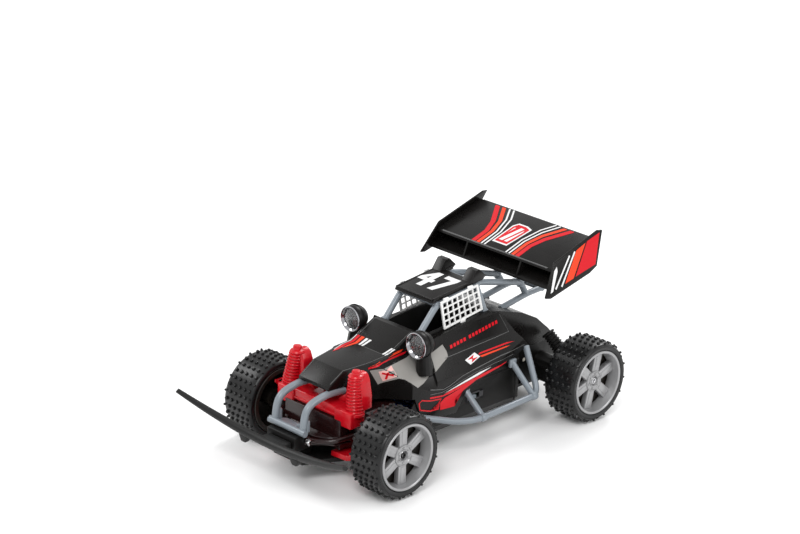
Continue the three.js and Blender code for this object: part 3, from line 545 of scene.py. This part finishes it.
# ---------------------------------------------------------------------------------------------
# Drive: a two-part gearbox screwed together across the car, a steel can motor, nylon gears and a
# steel axle right through the beam.
for mark in ("left", "right"):
    softened("gearbox_" + mark, 0.45, "chassis", black)
softened("drive_motor", 0.6, "chassis", steel)
softened("motor_pinion", 0.12, "motor_pinion", nylon, 1)
softened("idler_gear", 0.15, "idler_gear", nylon, 1)
softened("axle_gear", 0.15, "rear_axle", nylon, 1)
softened("rear_axle", 0.3, "rear_axle", steel)
beam = bmesh.new()
for side in (-1, 1):
    box_slab(beam, span(side, 20.5, 44), (89.5, 102.5), (16, 32), 1.2, 3)
    box_slab(beam, span(side, 21, 43), (88.7, 89.8), (26.2, 27.4), 0.3)
    pipe(beam, [(side * 44, REAR_AXLE_Y, TREAD_RADIUS), (side * 46.5, REAR_AXLE_Y, TREAD_RADIUS)], 8.2, 1, 28)
piece("axle_beam", close_normals(beam), "chassis", black)


# ---------------------------------------------------------------------------------------------
# Wheels: silver-grey six-spoke rims, dished, with a ring of bumps round the hub and a screw in the middle;
# behind the spokes the rim's inner side carries painted shade. Black soft tyres carry rows of short studs, four and
# five across in turn.
def paint_shade_inside(material, inside, depth):
    """Paints shade into the inside of a wheel: everything nearer to the car than `depth` metres gets a dark painted
    shade.
    """
    nodes, links = material.node_tree.nodes, material.node_tree.links
    split, size, mask = nodes.new("ShaderNodeSeparateXYZ"), nodes.new("ShaderNodeMath"), nodes.new("ShaderNodeMapRange")
    size.operation = "ABSOLUTE"
    mask.inputs["From Min"].default_value = depth - 0.0002
    mask.inputs["From Max"].default_value = depth + 0.0002
    paint = nodes.new("ShaderNodeMix")
    paint.data_type = "RGBA"
    paint.inputs["A"].default_value = (*inside, 1)
    links.new(nodes["Texture Coordinate"].outputs["Object"], split.inputs["Vector"])
    links.new(split.outputs["X"], size.inputs[0])
    links.new(size.outputs[0], mask.inputs["Value"])
    links.new(mask.outputs["Result"], paint.inputs["Factor"])
    links.new(nodes["tone"].outputs["Result"], paint.inputs["B"])
    links.new(paint.outputs["Result"], nodes["Principled BSDF"].inputs["Base Color"])
    return material


# The rim's inner side, nearer the car than the spokes, is coloured dark as painted shade instead of silver.
silver = paint_shade_inside(stuff("silver_paint", (0.33, 0.33, 0.335), 0.34, 0.4, grain=4200, relief=0.04, mottle=0.1),
                  (0.02, 0.017, 0.014), (WHEEL_X + 4.6) * MM)
rubber = stuff("tyre_rubber", (0.0042, 0.0042, 0.0045), 0.33, grain=1500, relief=0.09, mottle=0.25, patch=160,
               shine=0.36)


def make_rim():
    bm = bmesh.new()
    lathe(bm, [(20.2, -13.3), (23.1, -13.4), (23.5, -13.0), (23.5, -12.1), (21.7, -11.9), (21.7, 11.9), (23.5, 12.1),
               (23.6, 13.0), (23.2, 13.55), (22.4, 13.6), (21.7, 13.1), (20.9, 8.6), (20.3, 4.6), (20.2, -13.3)],
          (0, 0, 0), (1, 0, 0), 96)
    lathe(bm, [(2.7, 2.0), (20.4, 2.0), (20.4, 3.2), (2.7, 3.2), (2.7, 2.0)], (0, 0, 0), (1, 0, 0), 64)
    lathe(bm, [(2.6, -8), (6.4, -8), (6.6, 2.0), (7.8, 3.2), (7.9, 8.3), (7.4, 9.3), (6.8, 9.5), (6.4, 8.9),
               (4.4, 8.7), (4.1, 9.3), (3.7, 9.4), (3.5, 8.6), (3.4, 7.4), (2.6, 7.2), (2.6, -8)],
          (0, 0, 0), (1, 0, 0), 48)
    for spoke in range(6):
        blade = slab(bm, [(-3.5, 6.2), (3.5, 6.2), (3.9, 21.0), (-3.9, 21.0)], 0, 3.1, 8.6, 0.75, 3)
        groove = slab(bm, [(-1.6, 8.4), (1.6, 8.4), (2.0, 19.8), (-2.0, 19.8)], 0, 8.2, 8.9, 0.25, 2)
        turn = Matrix.Rotation(spoke * math.pi / 3, 3, "X")
        bmesh.ops.rotate(bm, verts=[v for v in blade + groove if v.is_valid], cent=(0, 0, 0), matrix=turn)
    for bump in range(6):
        angle = (bump + 0.5) * math.pi / 3
        bmesh.ops.create_icosphere(bm, subdivisions=2, radius=0.85, matrix=Matrix.Translation(
            (8.9, 5.4 * math.cos(angle), 5.4 * math.sin(angle))))
    return bm


def make_tyre():
    bm = bmesh.new()
    side = [(21.9, 11.8), (23.6, 11.9), (23.9, 12.7), (24.5, 13.2), (25.6, 13.5), (26.6, 13.45), (27.5, 13.1),
            (28.3, 12.2), (28.7, 11.0)]
    profile = side + [(TREAD_RADIUS, 6.0), (TREAD_RADIUS, 0)]
    profile += [(r, -t) for r, t in reversed(profile[:-1])] + [side[0]]
    lathe(bm, profile, (0, 0, 0), (1, 0, 0), 96)
    lathe(bm, [(26.9, 13.3), (27.2, 13.65), (27.5, 13.2), (26.9, 13.3)], (0, 0, 0), (1, 0, 0), 96)
    rows = 34
    for row in range(rows):
        across = (-10, -5, 0, 5, 10) if row % 2 else (-7.5, -2.5, 2.5, 7.5)
        turn = Matrix.Rotation(row * 2 * math.pi / rows, 4, "X")
        for x in across:
            for low, wide, narrow, tall in ((28.2, 1.5, 1.3, 1.5), (29.7, 1.3, 0.8, 0.5)):
                bmesh.ops.create_cone(bm, cap_ends=True, segments=8, radius1=wide, radius2=narrow, depth=tall,
                                      matrix=turn @ Matrix.Translation((x, 0, low + tall / 2)))
        if row % 2 == 0:
            for x in (-11.9, 11.9):
                lean = Matrix.Rotation(math.copysign(0.5, x), 4, "Y")
                bmesh.ops.create_cone(bm, cap_ends=True, segments=8, radius1=1.25, radius2=0.7, depth=2.2,
                                      matrix=turn @ Matrix.Translation((x, 0, 28.7)) @ lean)
    return bm


def place_wheel(bm, side, axle_y, turned):
    bmesh.ops.rotate(bm, verts=bm.verts, cent=(0, 0, 0), matrix=Matrix.Rotation(turned, 3, "X"))
    bmesh.ops.scale(bm, vec=(side, 1, 1), verts=bm.verts)
    bmesh.ops.translate(bm, verts=bm.verts, vec=(side * WHEEL_X, axle_y, TREAD_RADIUS))
    return close_normals(bm)


for mark, side, axle_y, body, turned in (
        ("front_left", 1, FRONT_AXLE_Y, "wheel_front_left", 0.0),
        ("front_right", -1, FRONT_AXLE_Y, "wheel_front_right", 0.2),
        ("rear_left", 1, REAR_AXLE_Y, "rear_axle", -0.22), ("rear_right", -1, REAR_AXLE_Y, "rear_axle", -0.22)):
    piece("rim_moulding_" + mark, place_wheel(make_rim(), side, axle_y, turned), body, silver,
          ["rim_" + mark])
    piece("studded_tyre_" + mark, place_wheel(make_tyre(), side, axle_y, turned), body, rubber,
          ["tyre_" + mark], 40)
    screw("wheel_fixing_" + mark, (side * (WHEEL_X + 7.3), axle_y, TREAD_RADIUS), (side, 0, 0), 2.9, 1.1, 5.5, body,
          ["wheel_screw_" + mark])


# ---------------------------------------------------------------------------------------------
# Body shell: one satin black moulding. A rolled ridge runs along each flank, the hood carries a
# raised panel, and thin grey lines of painted highlight mark its edges.
def tree_of(bm):
    return BVHTree.FromBMesh(bm)


def stroke(points, width):
    """The outline of a line of even width drawn through points in a plane."""
    places = [Vector(p) for p in points]
    left, right = [], []
    for i, place in enumerate(places):
        before = places[max(i - 1, 0)]
        after = places[min(i + 1, len(places) - 1)]
        along = (after - before).normalized()
        aside = Vector((-along.y, along.x)) * width / 2
        left.append(tuple(place + aside))
        right.append(tuple(place - aside))
    return left + right[::-1]


def laid(outlines, tree, axis, sign, lift=0.14, step=2.4):
    """Cuts outlines into small cells and lays them on a surface, looking back along an axis."""
    others = [i for i in range(3) if i != axis]
    bm = bmesh.new()
    for outline in outlines:
        corners = []
        for point in outline:
            place = [150.0 * sign] * 3
            place[others[0]], place[others[1]] = point
            corners.append(bm.verts.new(place))
        bmesh.ops.triangulate(bm, faces=[bm.faces.new(corners)])
    for other in others:
        low, high = min(v.co[other] for v in bm.verts), max(v.co[other] for v in bm.verts)
        facing = Vector((0, 0, 0))
        facing[other] = 1
        for cut in range(1, int((high - low) / step) + 1):
            spot = Vector((0, 0, 0))
            spot[other] = low + cut * step
            bmesh.ops.bisect_plane(bm, geom=bm.verts[:] + bm.edges[:] + bm.faces[:], dist=0.0001, plane_co=spot,
                                   plane_no=facing)
    down = Vector((0, 0, 0))
    down[axis] = -sign
    lost = []
    for vert in bm.verts:
        hit, normal, _, _ = tree.ray_cast(vert.co, down)
        if hit is None:
            lost.append(vert)
        else:
            vert.co = hit + normal * lift
    bmesh.ops.delete(bm, geom=lost, context="VERTS")
    bmesh.ops.recalc_face_normals(bm, faces=bm.faces)
    turned = [f for f in bm.faces if f.normal[axis] * sign < 0]
    bmesh.ops.reverse_faces(bm, faces=turned)
    return bm


def sticker(name, outlines, tree, axis, sign, slot, material, body="chassis", lift=0.14, step=2.4):
    return piece(name, laid(outlines, tree, axis, sign, lift, step), body, material)


satin = stuff("satin_body", (0.0044, 0.0038, 0.0035), 0.28, grain=1700, relief=0.045, shine=0.22)
shell = cad_copy("body_shell")
soften(shell, 0.9, 3, 14)
shell_tree = tree_of(shell)
piece("body_moulding", shell, "chassis", satin, ["body_shell"])
white_print = stuff("white_print", (0.74, 0.74, 0.74), 0.3, relief=0.005, mottle=0.03)
red_print = stuff("red_print", (0.58, 0.004, 0.012), 0.3, relief=0.005, mottle=0.05, shine=0.25)
orange_print = stuff("orange_print", (0.76, 0.05, 0.012), 0.3, relief=0.005, mottle=0.05, shine=0.25)
grey_print = stuff("grey_print", (0.26, 0.25, 0.235), 0.4, relief=0.01, mottle=0.22, patch=60)
pink_print = stuff("pink_print", (0.78, 0.45, 0.42), 0.35, relief=0.005, mottle=0.12, patch=160)
black_print = stuff("black_print", (0.006, 0.0055, 0.0055), 0.25, relief=0.005, shine=0.25)
# Dark grey for painted highlights: thin lines and lips that stand in for light caught along edges and ridges.
painted_highlight_grey = stuff("painted_highlight_lines", (0.1, 0.1, 0.1), 0.3, relief=0.01)

REDS = dict(slot="red_plastic", material=red_print)
ORANGES = dict(slot="red_plastic", material=orange_print)
WHITES = dict(slot="net_white", material=white_print)
RED_BAND = [(-40.9, 45), (-28, 43.1), (-21.3, 44.6), (-6.1, 46.1), (12.3, 48.5), (42, 50.8), (12.4, 46.1),
            (-6.7, 44), (-21.1, 42.3), (-29.4, 42.2), (-40.8, 43.7)]
RED_BLOCK = [(-30.4, 32.6), (-30.7, 38.1), (-26.3, 40.6), (-6.8, 44.1), (4.7, 45.2), (-8.1, 40.9), (-15.9, 37.3),
             (-15.8, 31.4)]
BOX_LINES = [stroke([(-48.6, 36.9), (-49.6, 42.4), (-47.4, 44.1), (-40, 42.2), (-29.6, 40.8)], 0.9),
             stroke([(-29.8, 40.8), (-31.8, 38.5), (-32.2, 33.9), (-40, 34.6), (-48.6, 37.2)], 0.9)]
TWIN_RED = [(9.5, 61.5), (11.4, 62.6), (39.3, 62.9), (47, 61.9), (39.3, 61.9), (11.6, 61.6)]
TWIN_ORANGE = [(11.2, 60.2), (12.6, 59.5), (37.8, 60), (42, 60.4), (37.8, 60.7), (11.4, 60.7)]
WEDGE = [(-27.3, 44.2), (-21.3, 45.1), (-7, 47.9), (7.7, 50.3), (19.9, 51), (7.7, 48.4), (-8.4, 46.3), (-20, 44.9)]
EMBLEM = [(-3.8, 61.2), (6.8, 63.8), (11, 60.2), (0.1, 57.4)]
EMBLEM_MARK = [(-1.4, 60.9), (5.4, 62.7), (3.4, 60.6), (8.9, 60.4), (1.6, 58.4), (3.6, 60.4)]
LETTER_BARS = [[(y, 70.6 + (y + 14) * 0.085), (y + 2.4, 70.8 + (y + 14) * 0.085), (y + 3.3, 72.6 + (y + 14) * 0.085),
                (y + 0.9, 72.4 + (y + 14) * 0.085)] for y in (-13.5, -9.9, -6.3, -2.7, 0.9, 6.7, 10.3, 13.9, 17.5, 21.1,
                                                              24.7, 28.3, 31.9, 35.5)]
RIDGE = stroke([(-40.8, 50.4), (-28.2, 47.5), (-22.2, 48.3), (-8.8, 52.4), (1.1, 53.8), (30, 56.2), (57.2, 56.9)], 0.5)
LOW_RIDGE = stroke([(-40.9, 46.9), (-29.6, 45.6), (-22.1, 46.6), (2.8, 51.2), (24, 53.1), (44, 53.6)], 0.4)
PANEL_EDGE = stroke([(-21.4, 66.6), (30, 68.2), (43.8, 68.9), (43.4, 79.4)], 0.35)
GREY_PANEL = [(-77.3, 67.6), (-71.7, 56.8), (-61.4, 61.6), (-58.5, 60.6), (-51.1, 54.2), (-45, 55.6), (-18.2, 66.8),
              (-17.8, 70.4), (-18.4, 74.2), (-45.4, 69.4), (-58, 68.6)]
PINK_SQUARE = [(-71.6, 66.2), (-61.4, 68.3), (-62.5, 62.8), (-69, 59)]
PINK_CROSS = [stroke([(-70.2, 65), (-64, 63.6)], 1.3), stroke([(-66.4, 67), (-67.6, 60.6)], 1.1)]
SIDE_ORANGE = [(-78.5, 70.3), (-61.6, 72.9), (-49.2, 74.1), (-47, 75.6), (-52, 75.5), (-64, 73.8)]
SIDE_RED = [(-78.5, 68.7), (-60.1, 71.3), (-45.7, 71.9), (-44, 73.4), (-48.8, 73.4), (-61.6, 72.2), (-78.5, 69.9)]
for side, mark in ((1, "left"), (-1, "right")):
    flank = dict(tree=shell_tree, axis=0, sign=side)
    sticker("flank_reds_" + mark, [RED_BAND, RED_BLOCK, *BOX_LINES, TWIN_RED, *LETTER_BARS], **REDS, **flank)
    sticker("flank_oranges_" + mark, [TWIN_ORANGE, SIDE_ORANGE], **ORANGES, **flank)
    sticker("flank_whites_" + mark, [WEDGE, EMBLEM], **WHITES, lift=0.2, **flank)
    sticker("flank_emblem_" + mark, [EMBLEM_MARK], **REDS, lift=0.3, **flank)
    sticker("cowl_panel_" + mark, [GREY_PANEL], slot="rim_grey", material=grey_print, step=1.2, **flank)
    sticker("cowl_square_" + mark, [PINK_SQUARE], slot="net_white", material=pink_print, lift=0.22, **flank)
    sticker("cowl_marks_" + mark, [*PINK_CROSS, SIDE_RED], **REDS, lift=0.3, **flank)
    # Thin grey strokes along the flank ridges and the door panel's edge are painted highlights.
    sticker("flank_edges_" + mark, [RIDGE, LOW_RIDGE, PANEL_EDGE], slot="black_plastic", material=painted_highlight_grey,
            lift=0.3, **flank)


def mirrored(outlines):
    return outlines + [[(-x, y) for x, y in outline] for outline in outlines]


HOOD_REDS = [[(-13.9, -81.4), (-15.9, -76), (-17.4, -67.8), (-17.2, -53.9), (-14.6, -54.1), (-14.9, -67.5),
              (-13.4, -76)]]
HOOD_ORANGES = [[(-13.2, -73), (-14, -67), (-13.4, -53.9), (-10.3, -53.9), (-12.2, -66)]]
HOOD_WHITES = [[(-9.7, -61), (-8.1, -61), (-6.6, -54), (-8.9, -54)],
               [(-7.2, -61), (-5.6, -61), (-3.4, -54), (-5.4, -54)]]
NEAR_WHITES = [[(13, -61), (14.6, -61), (17, -53.8), (15.4, -53.8)],
               [(15.6, -61), (17, -61), (19, -53.8), (17.8, -53.8)]]
hood_top = dict(tree=shell_tree, axis=2, sign=1, step=1.6)
sticker("hood_reds", HOOD_REDS, **REDS, **hood_top)
sticker("hood_oranges", HOOD_ORANGES, **ORANGES, **hood_top)
sticker("hood_whites", HOOD_WHITES + NEAR_WHITES + [stroke([(-15.4, -78), (-18.2, -68), (-18.0, -54)], 0.6)],
        **WHITES, **hood_top)
# Thin grey strokes along the hood's edges and across its panel line are painted highlights.
HOOD_EDGES = [stroke([(x * 13.4, -109), (x * 13.8, -98), (x * 16.9, -78), (x * 17.2, -36)], 0.4) for x in (-1, 1)]
sticker("hood_lines", [stroke([(-14, -61), (14, -61)], 0.35), *HOOD_EDGES], slot="black_plastic",
        material=painted_highlight_grey, **hood_top)


# Cockpit tray and engine cover: black inserts dropped into the shell; the cover has raised side
# panels and cooling slats.
softened("cockpit_tray", 0.5, "chassis", black)
cover = soften(cad_copy("engine_cover"), 0.8, 3, 14)
cover_tree = tree_of(cover)
piece("engine_cover_moulding", cover, "chassis", satin, ["engine_cover"])
SLATS = [[(-8, y), (8, y), (8, y + 1.3), (-8, y + 1.3)] for y in (66, 69.5, 73, 76.5, 80)]
# The slats are flat strips laid on the cover in the dark grey of the painted highlights.
piece("cover_slats", laid(SLATS, cover_tree, 2, 1, 0.35, 4), "chassis", painted_highlight_grey)


# ---------------------------------------------------------------------------------------------
# Side guards and roll cage: bent grey moulded tubes with flattened ends where they meet the body.
# The cage runs on backwards as the stays of the wing.
for side, mark in ((1, "left"), (-1, "right")):
    guard = bmesh.new()
    pipe(guard, [(40.5, -46, 31), (52, -24, 25.6), (57.5, -10, 25), (55, 55, 25), (37.6, 59.2, 54.6)], 2.3, 8, 20)
    pipe(guard, [(57.2, -4, 25), (42, -3.4, 36.5), (38.2, -3.2, 39.6)], 2.2, 2, 18)
    pipe(guard, [(55.2, 50, 25), (42, 44.8, 43), (38.4, 43.4, 48)], 2.2, 2, 18)
    for y, z in ((-3.3, 38.4), (43.8, 46.4)):
        box_slab(guard, (38, 40.6), (y - 3.2, y + 3.2), (z - 2.6, z + 3.4), 0.8, 3)
    for y in (-4, 50):
        lathe(guard, [(0, -2.5), (2.6, -2.5), (2.9, -1.8), (2.9, 1.8), (2.6, 2.5), (0, 2.5)],
              (57.2 if y < 0 else 55.2, y, 25), (0.03, 1, 0), 24)
    bmesh.ops.scale(guard, vec=(side, 1, 1), verts=guard.verts)
    piece("side_guard_tubes_" + mark, close_normals(guard), "chassis", tube_grey, ["side_guard_" + mark])


def make_cage():
    bm = bmesh.new()
    for s in (-1, 1):
        pipe(bm, [(s * 16.9, -27.6, 82), (s * 17.2, -12.8, 98.6), (s * 16.2, 27, 103.2), (s * 18.4, 34.4, 82.6)],
             2.3, 5, 20)
        pipe(bm, [(s * 14.6, 27.6, 103.2), (s * 12.9, 34, 102.4), (s * 11, 80, 90.3), (s * 10.8, 86, 80)], 2.3, 5, 20)
        pipe(bm, [(s * 11, 60, 75.4), (s * 11, 88, 79.8), (s * 11, 104, 80.4)], 2.2, 5, 20)
        pipe(bm, [(s * 11, 80, 88), (s * 11, 78, 107.4)], 2.6, 1, 20)
        for y, z in ((-12.8, 98.6), (27, 103.2)):
            bmesh.ops.create_icosphere(bm, subdivisions=3, radius=2.5, matrix=Matrix.Translation((s * 16.9, y, z)))
        box_slab(bm, span(s, 14.8, 19.2), (-30.4, -25.6), (80.6, 83.4), 0.8, 3)
        box_slab(bm, span(s, 16.2, 20.4), (31.8, 37), (80.4, 84), 0.8, 3)
    for y, z, x in ((-12, 98.7, 17), (27.5, 103.2, 16), (103, 80.4, 12)):
        pipe(bm, [(-x, y, z), (x, y, z)], 2.3, 1, 20)
    return close_normals(bm)


piece("roll_cage_tubes", make_cage(), "chassis", tube_grey, ["roll_cage"])


# Roof panel: a black moulding with raised side rails, a turned-down front lip and two horns at the
# back. It carries a plain white racing number.
roof = soften(cad_copy("roof_panel"), 0.6, 3)
roof_tree = tree_of(roof)
rails = bmesh.new()
for side in (-1, 1):
    pipe(rails, [(side * 17.4, -16.6, 103.0), (side * 17.4, 27.4, 107.6)], 0.9, 1, 12)
pipe(rails, [(-17.4, -17.2, 102.9), (17.4, -17.2, 102.9)], 0.8, 1, 12)
add_in(roof, rails)
piece("roof_moulding", roof, "chassis", satin, ["roof_panel"])
DIGITS = [[(-16, 1.4), (-16, 5.6), (-9.4, 16.6), (-4.6, 16.6), (-4.6, 5.6), (-2.2, 5.6), (-2.2, 1.4), (-4.6, 1.4),
           (-4.6, -6.6), (-9.4, -6.6), (-9.4, 1.4)],
          [(-0.4, 12), (-0.4, 16.6), (12, 16.6), (12, 12.4), (6.2, -6.6), (1, -6.6), (6.8, 12)]]
sticker("roof_number", DIGITS, roof_tree, 2, 1, "net_white", white_print, step=3)
sticker("roof_number_gap", [[(-11.6, 5.6), (-9.3, 5.6), (-9.3, 9.6)]], roof_tree, 2, 1, "black_plastic", black_print,
        lift=0.22, step=3)


# Window nets: white mouldings with four rows of slots, hung between the cage tubes by small tabs.
white = stuff("white_moulding", (0.76, 0.76, 0.75), 0.36, relief=0.02, mottle=0.03)


def net_at(u, v):
    foot = Vector((-8.0, 81.0)).lerp(Vector((28.8, 86.0)), u)
    return tuple(foot.lerp(Vector((-12.4, 100.8)).lerp(Vector((22.9, 104.8)), u), v))


for side, mark in ((1, "left"), (-1, "right")):
    tabs = bmesh.new()
    for column in range(8):
        u, wide = column / 7, 0.026 if column in (0, 7) else 0.015
        outline = [net_at(u - wide, -0.03), net_at(u + wide, -0.03), net_at(u + wide, 1.03), net_at(u - wide, 1.03)]
        slab(tabs, outline, 0, 20.5, 21.7, 0.2)
    for row in range(5):
        v, wide = row / 4, 0.042 if row in (0, 4) else 0.026
        outline = [net_at(-0.02, v - wide), net_at(1.02, v - wide), net_at(1.02, v + wide), net_at(-0.02, v + wide)]
        slab(tabs, outline, 0, 20.6, 21.6, 0.2)
    for y, z in ((-8, 102.0), (16, 104.8), (10, 82.4)):
        box_slab(tabs, (20.5, 21.8), (y - 2.4, y + 2.4), (z - 1.6, z + 1.6), 0.3)
    bmesh.ops.scale(tabs, vec=(side, 1, 1), verts=tabs.verts)
    piece("net_moulding_" + mark, close_normals(tabs), "chassis", white, ["window_net_" + mark])


# ---------------------------------------------------------------------------------------------
# Headlamps: a black bowl on a rounded pod, a chrome reflector with a bright bezel round it, and a
# domed clear lens with ribs.
chrome = stuff("bright_chrome", (0.42, 0.42, 0.44), 0.12, 1.0, grain=600, relief=0.01, mottle=0.04)
clear = stuff("clear_lens", (0.9, 0.92, 0.93), 0.06, relief=0.004, mottle=0.01)
clear.node_tree.nodes["Principled BSDF"].inputs["Transmission Weight"].default_value = 0.95
clear.node_tree.nodes["Principled BSDF"].inputs["IOR"].default_value = 1.45
for side, mark in ((1, "left"), (-1, "right")):
    spot, aft = (side * 32, -46.5, 81.7), (0, 1, 0)
    bowl = bmesh.new()
    lathe(bowl, [(0, 13), (2.4, 12.8), (4.6, 12), (6.6, 10.4), (8.2, 8.2), (9.1, 5.4), (9.3, 3), (9.3, 0.3), (9.1, 0),
                 (8.7, 0), (8.5, 0.3), (8.4, 4), (7.3, 7.9), (3.5, 11.2), (0, 11.7)], spot, aft, 56)
    lathe(bowl, [(9.2, 4.2), (9.6, 4.4), (9.6, 5.2), (9.0, 5.6)], spot, aft, 56)
    pod = soften(cad_copy("headlamp_housing_" + mark), 0.4)
    bmesh.ops.bisect_plane(pod, geom=pod.verts[:] + pod.edges[:] + pod.faces[:], plane_co=(0, 0, 74.5),
                           plane_no=(0, 0, 1), clear_outer=True)
    add_in(bowl, pod)
    piece("lamp_bowl_" + mark, close_normals(bowl), "chassis", black, ["headlamp_housing_" + mark])
    mirror_cup = bmesh.new()
    lathe(mirror_cup, [(0, 10.9), (3.2, 10.4), (6.8, 7.3), (8, 3.5), (8, -0.3), (9.1, -0.3), (9.4, -0.8), (9.2, -1.3),
                       (8.8, -1.4), (8.2, -1.1), (7.7, -0.4), (7.2, 0.2), (7.2, 3.5), (6, 6.7), (2.8, 9.4), (0, 9.9)],
          spot, aft, 56)
    piece("lamp_reflector_" + mark, close_normals(mirror_cup), "chassis", chrome,
          ["headlamp_reflector_" + mark])
    dark_cup = bmesh.new()
    lathe(dark_cup, [(0, 9.6), (2.7, 9.2), (5.8, 6.6), (7.0, 3.5), (7.0, 2.4), (6.6, 2.4), (6.5, 3.4), (5.4, 6.2),
                     (2.5, 8.8), (0, 9.2)], spot, aft, 40)
    for rib in range(-3, 4):
        box_slab(dark_cup, (spot[0] + rib * 1.7 - 0.18, spot[0] + rib * 1.7 + 0.18), (spot[1] + 2.2, spot[1] + 3.6),
                 (spot[2] - 5.2, spot[2] + 5.2), 0.1, 1)
    lathe(dark_cup, [(0, 3), (1.5, 3.2), (1.8, 5), (1.2, 8.5), (0, 9)], spot, aft, 24)
    piece("lamp_inside_" + mark, close_normals(dark_cup), "chassis",
          stuff("lamp_dark_" + mark, (0.03, 0.03, 0.034), 0.2, 0.4, shine=0.3))
    glass = bmesh.new()
    lathe(glass, [(0, -1.9), (2, -1.8), (4, -1.35), (5.8, -0.5), (7.0, 0.5), (7.0, 1.6), (5.4, 0.9), (3, 0.2), (0, 0)],
          spot, aft, 48)
    piece("lamp_glass_" + mark, close_normals(glass), "chassis", clear, ["headlamp_lens_" + mark])


# ---------------------------------------------------------------------------------------------
# Rear wing: a ribbed black blade between two splayed end plates, all printed with stripes that
# run straight from the front edge and flare out at the back.
blade = soften(cad_copy("wing_blade"), 0.35, 2)
blade_tree = tree_of(blade)
# Thin grey tubes along the blade's front and back edges are painted edge highlights.
lips = bmesh.new()
pipe(lips, [(-50.5, 62.6, 116.7), (50.5, 62.6, 116.7)], 0.5, 1, 10)
pipe(lips, [(-51, 105.3, 130), (51, 105.3, 130)], 0.55, 1, 10)
piece("wing_moulding", blade, "chassis", satin, ["wing_blade"])
piece("wing_edges", lips, "chassis", painted_highlight_grey)
deck = dict(tree=blade_tree, axis=2, sign=1)
WING_WHITES = [stroke([(10.4, 63.2), (10.4, 80), (14.4, 95), (20.5, 104.6)], 1.3),
               stroke([(13.4, 63.2), (13.4, 79), (17.4, 93), (24.5, 104.6)], 1.3)]
WING_ORANGES = [stroke([(16.8, 63.2), (16.8, 78), (20.5, 90), (30, 104.6)], 2.9)]
WING_REDS = [stroke([(21, 63.2), (21, 76.6), (24.9, 87.4), (36.4, 104.6)], 3.8)]
sticker("wing_whites", mirrored(WING_WHITES), **WHITES, **deck)
sticker("wing_oranges", mirrored(WING_ORANGES), **ORANGES, **deck)
sticker("wing_reds", mirrored(WING_REDS), **REDS, **deck)
BADGE = [(-8.6, 69), (5.4, 69), (8.6, 92), (3, 94), (-5.4, 94), (-8, 90)]
BADGE_FIELD = [(-7.2, 70.4), (4.3, 70.4), (7.2, 91), (2.4, 92.6), (-4.6, 92.6), (-6.8, 89)]
BADGE_BARS = [[(-5.4, 72.6), (-2, 72.6), (3.4, 90), (0.2, 90)], [(-0.4, 72.6), (2.6, 72.6), (5, 86), (4.8, 89)],
              [(-5, 82), (-3.4, 89), (-4.8, 88)]]
sticker("wing_badge", [BADGE], **WHITES, **deck)
sticker("wing_badge_field", [BADGE_FIELD], **REDS, lift=0.24, **deck)
sticker("wing_badge_mark", BADGE_BARS, **WHITES, lift=0.34, **deck)

PLATE_WHITES = [stroke([(60.5, 104.4), (77.9, 124.1)], 1.3), stroke([(66.4, 105), (83.3, 125.8)], 1.3)]
PLATE_ORANGE = [(69.9, 106.2), (85, 126.3), (94.7, 129.7), (78.6, 108.2)]
PLATE_RED = [(80.6, 108.9), (96.4, 130.4), (109.4, 134), (101.2, 113.4)]
PLATE_BADGE = [(55.2, 102.6), (57.6, 103.2), (64.6, 116), (64.4, 119.2), (61.4, 116.6)]
for side, mark in ((1, "left"), (-1, "right")):
    end = soften(cad_copy("wing_end_plate_" + mark), 0.45, 3)
    end_tree = tree_of(end)
    piece("wing_plate_" + mark, end, "chassis", satin, ["wing_end_plate_" + mark])
    outer = dict(tree=end_tree, axis=0, sign=side)
    sticker("plate_whites_" + mark, PLATE_WHITES + [PLATE_BADGE], **WHITES, **outer)
    sticker("plate_orange_" + mark, [PLATE_ORANGE], **ORANGES, **outer)
    sticker("plate_red_" + mark, [PLATE_RED], **REDS, **outer)


# Rear struts: dummy shock absorbers with a moulded spring, between the beam and the body.
for side, mark in ((1, "left"), (-1, "right")):
    strut = bmesh.new()
    coil(strut, (side * 37.2, 95.2, 44.2), (side * 30, 92.4, 52.6), 5.2, 4.6, 5, 0.9, 28)
    lathe(strut, [(0, 0), (4.6, 0), (5, 0.5), (5, 1.2), (4.4, 1.7), (0, 1.7)], (side * 29.9, 92.3, 52.7),
          (-side * 0.64, -0.25, 0.76), 28)
    lathe(strut, [(0, 0), (5.2, 0), (5.4, 0.5), (5.4, 1.2), (0, 1.4)], (side * 38, 95.5, 43.1),
          (-side * 0.64, -0.25, 0.76), 28)
    piece("rear_spring_" + mark, close_normals(strut), "chassis", black, ["rear_shock_" + mark])
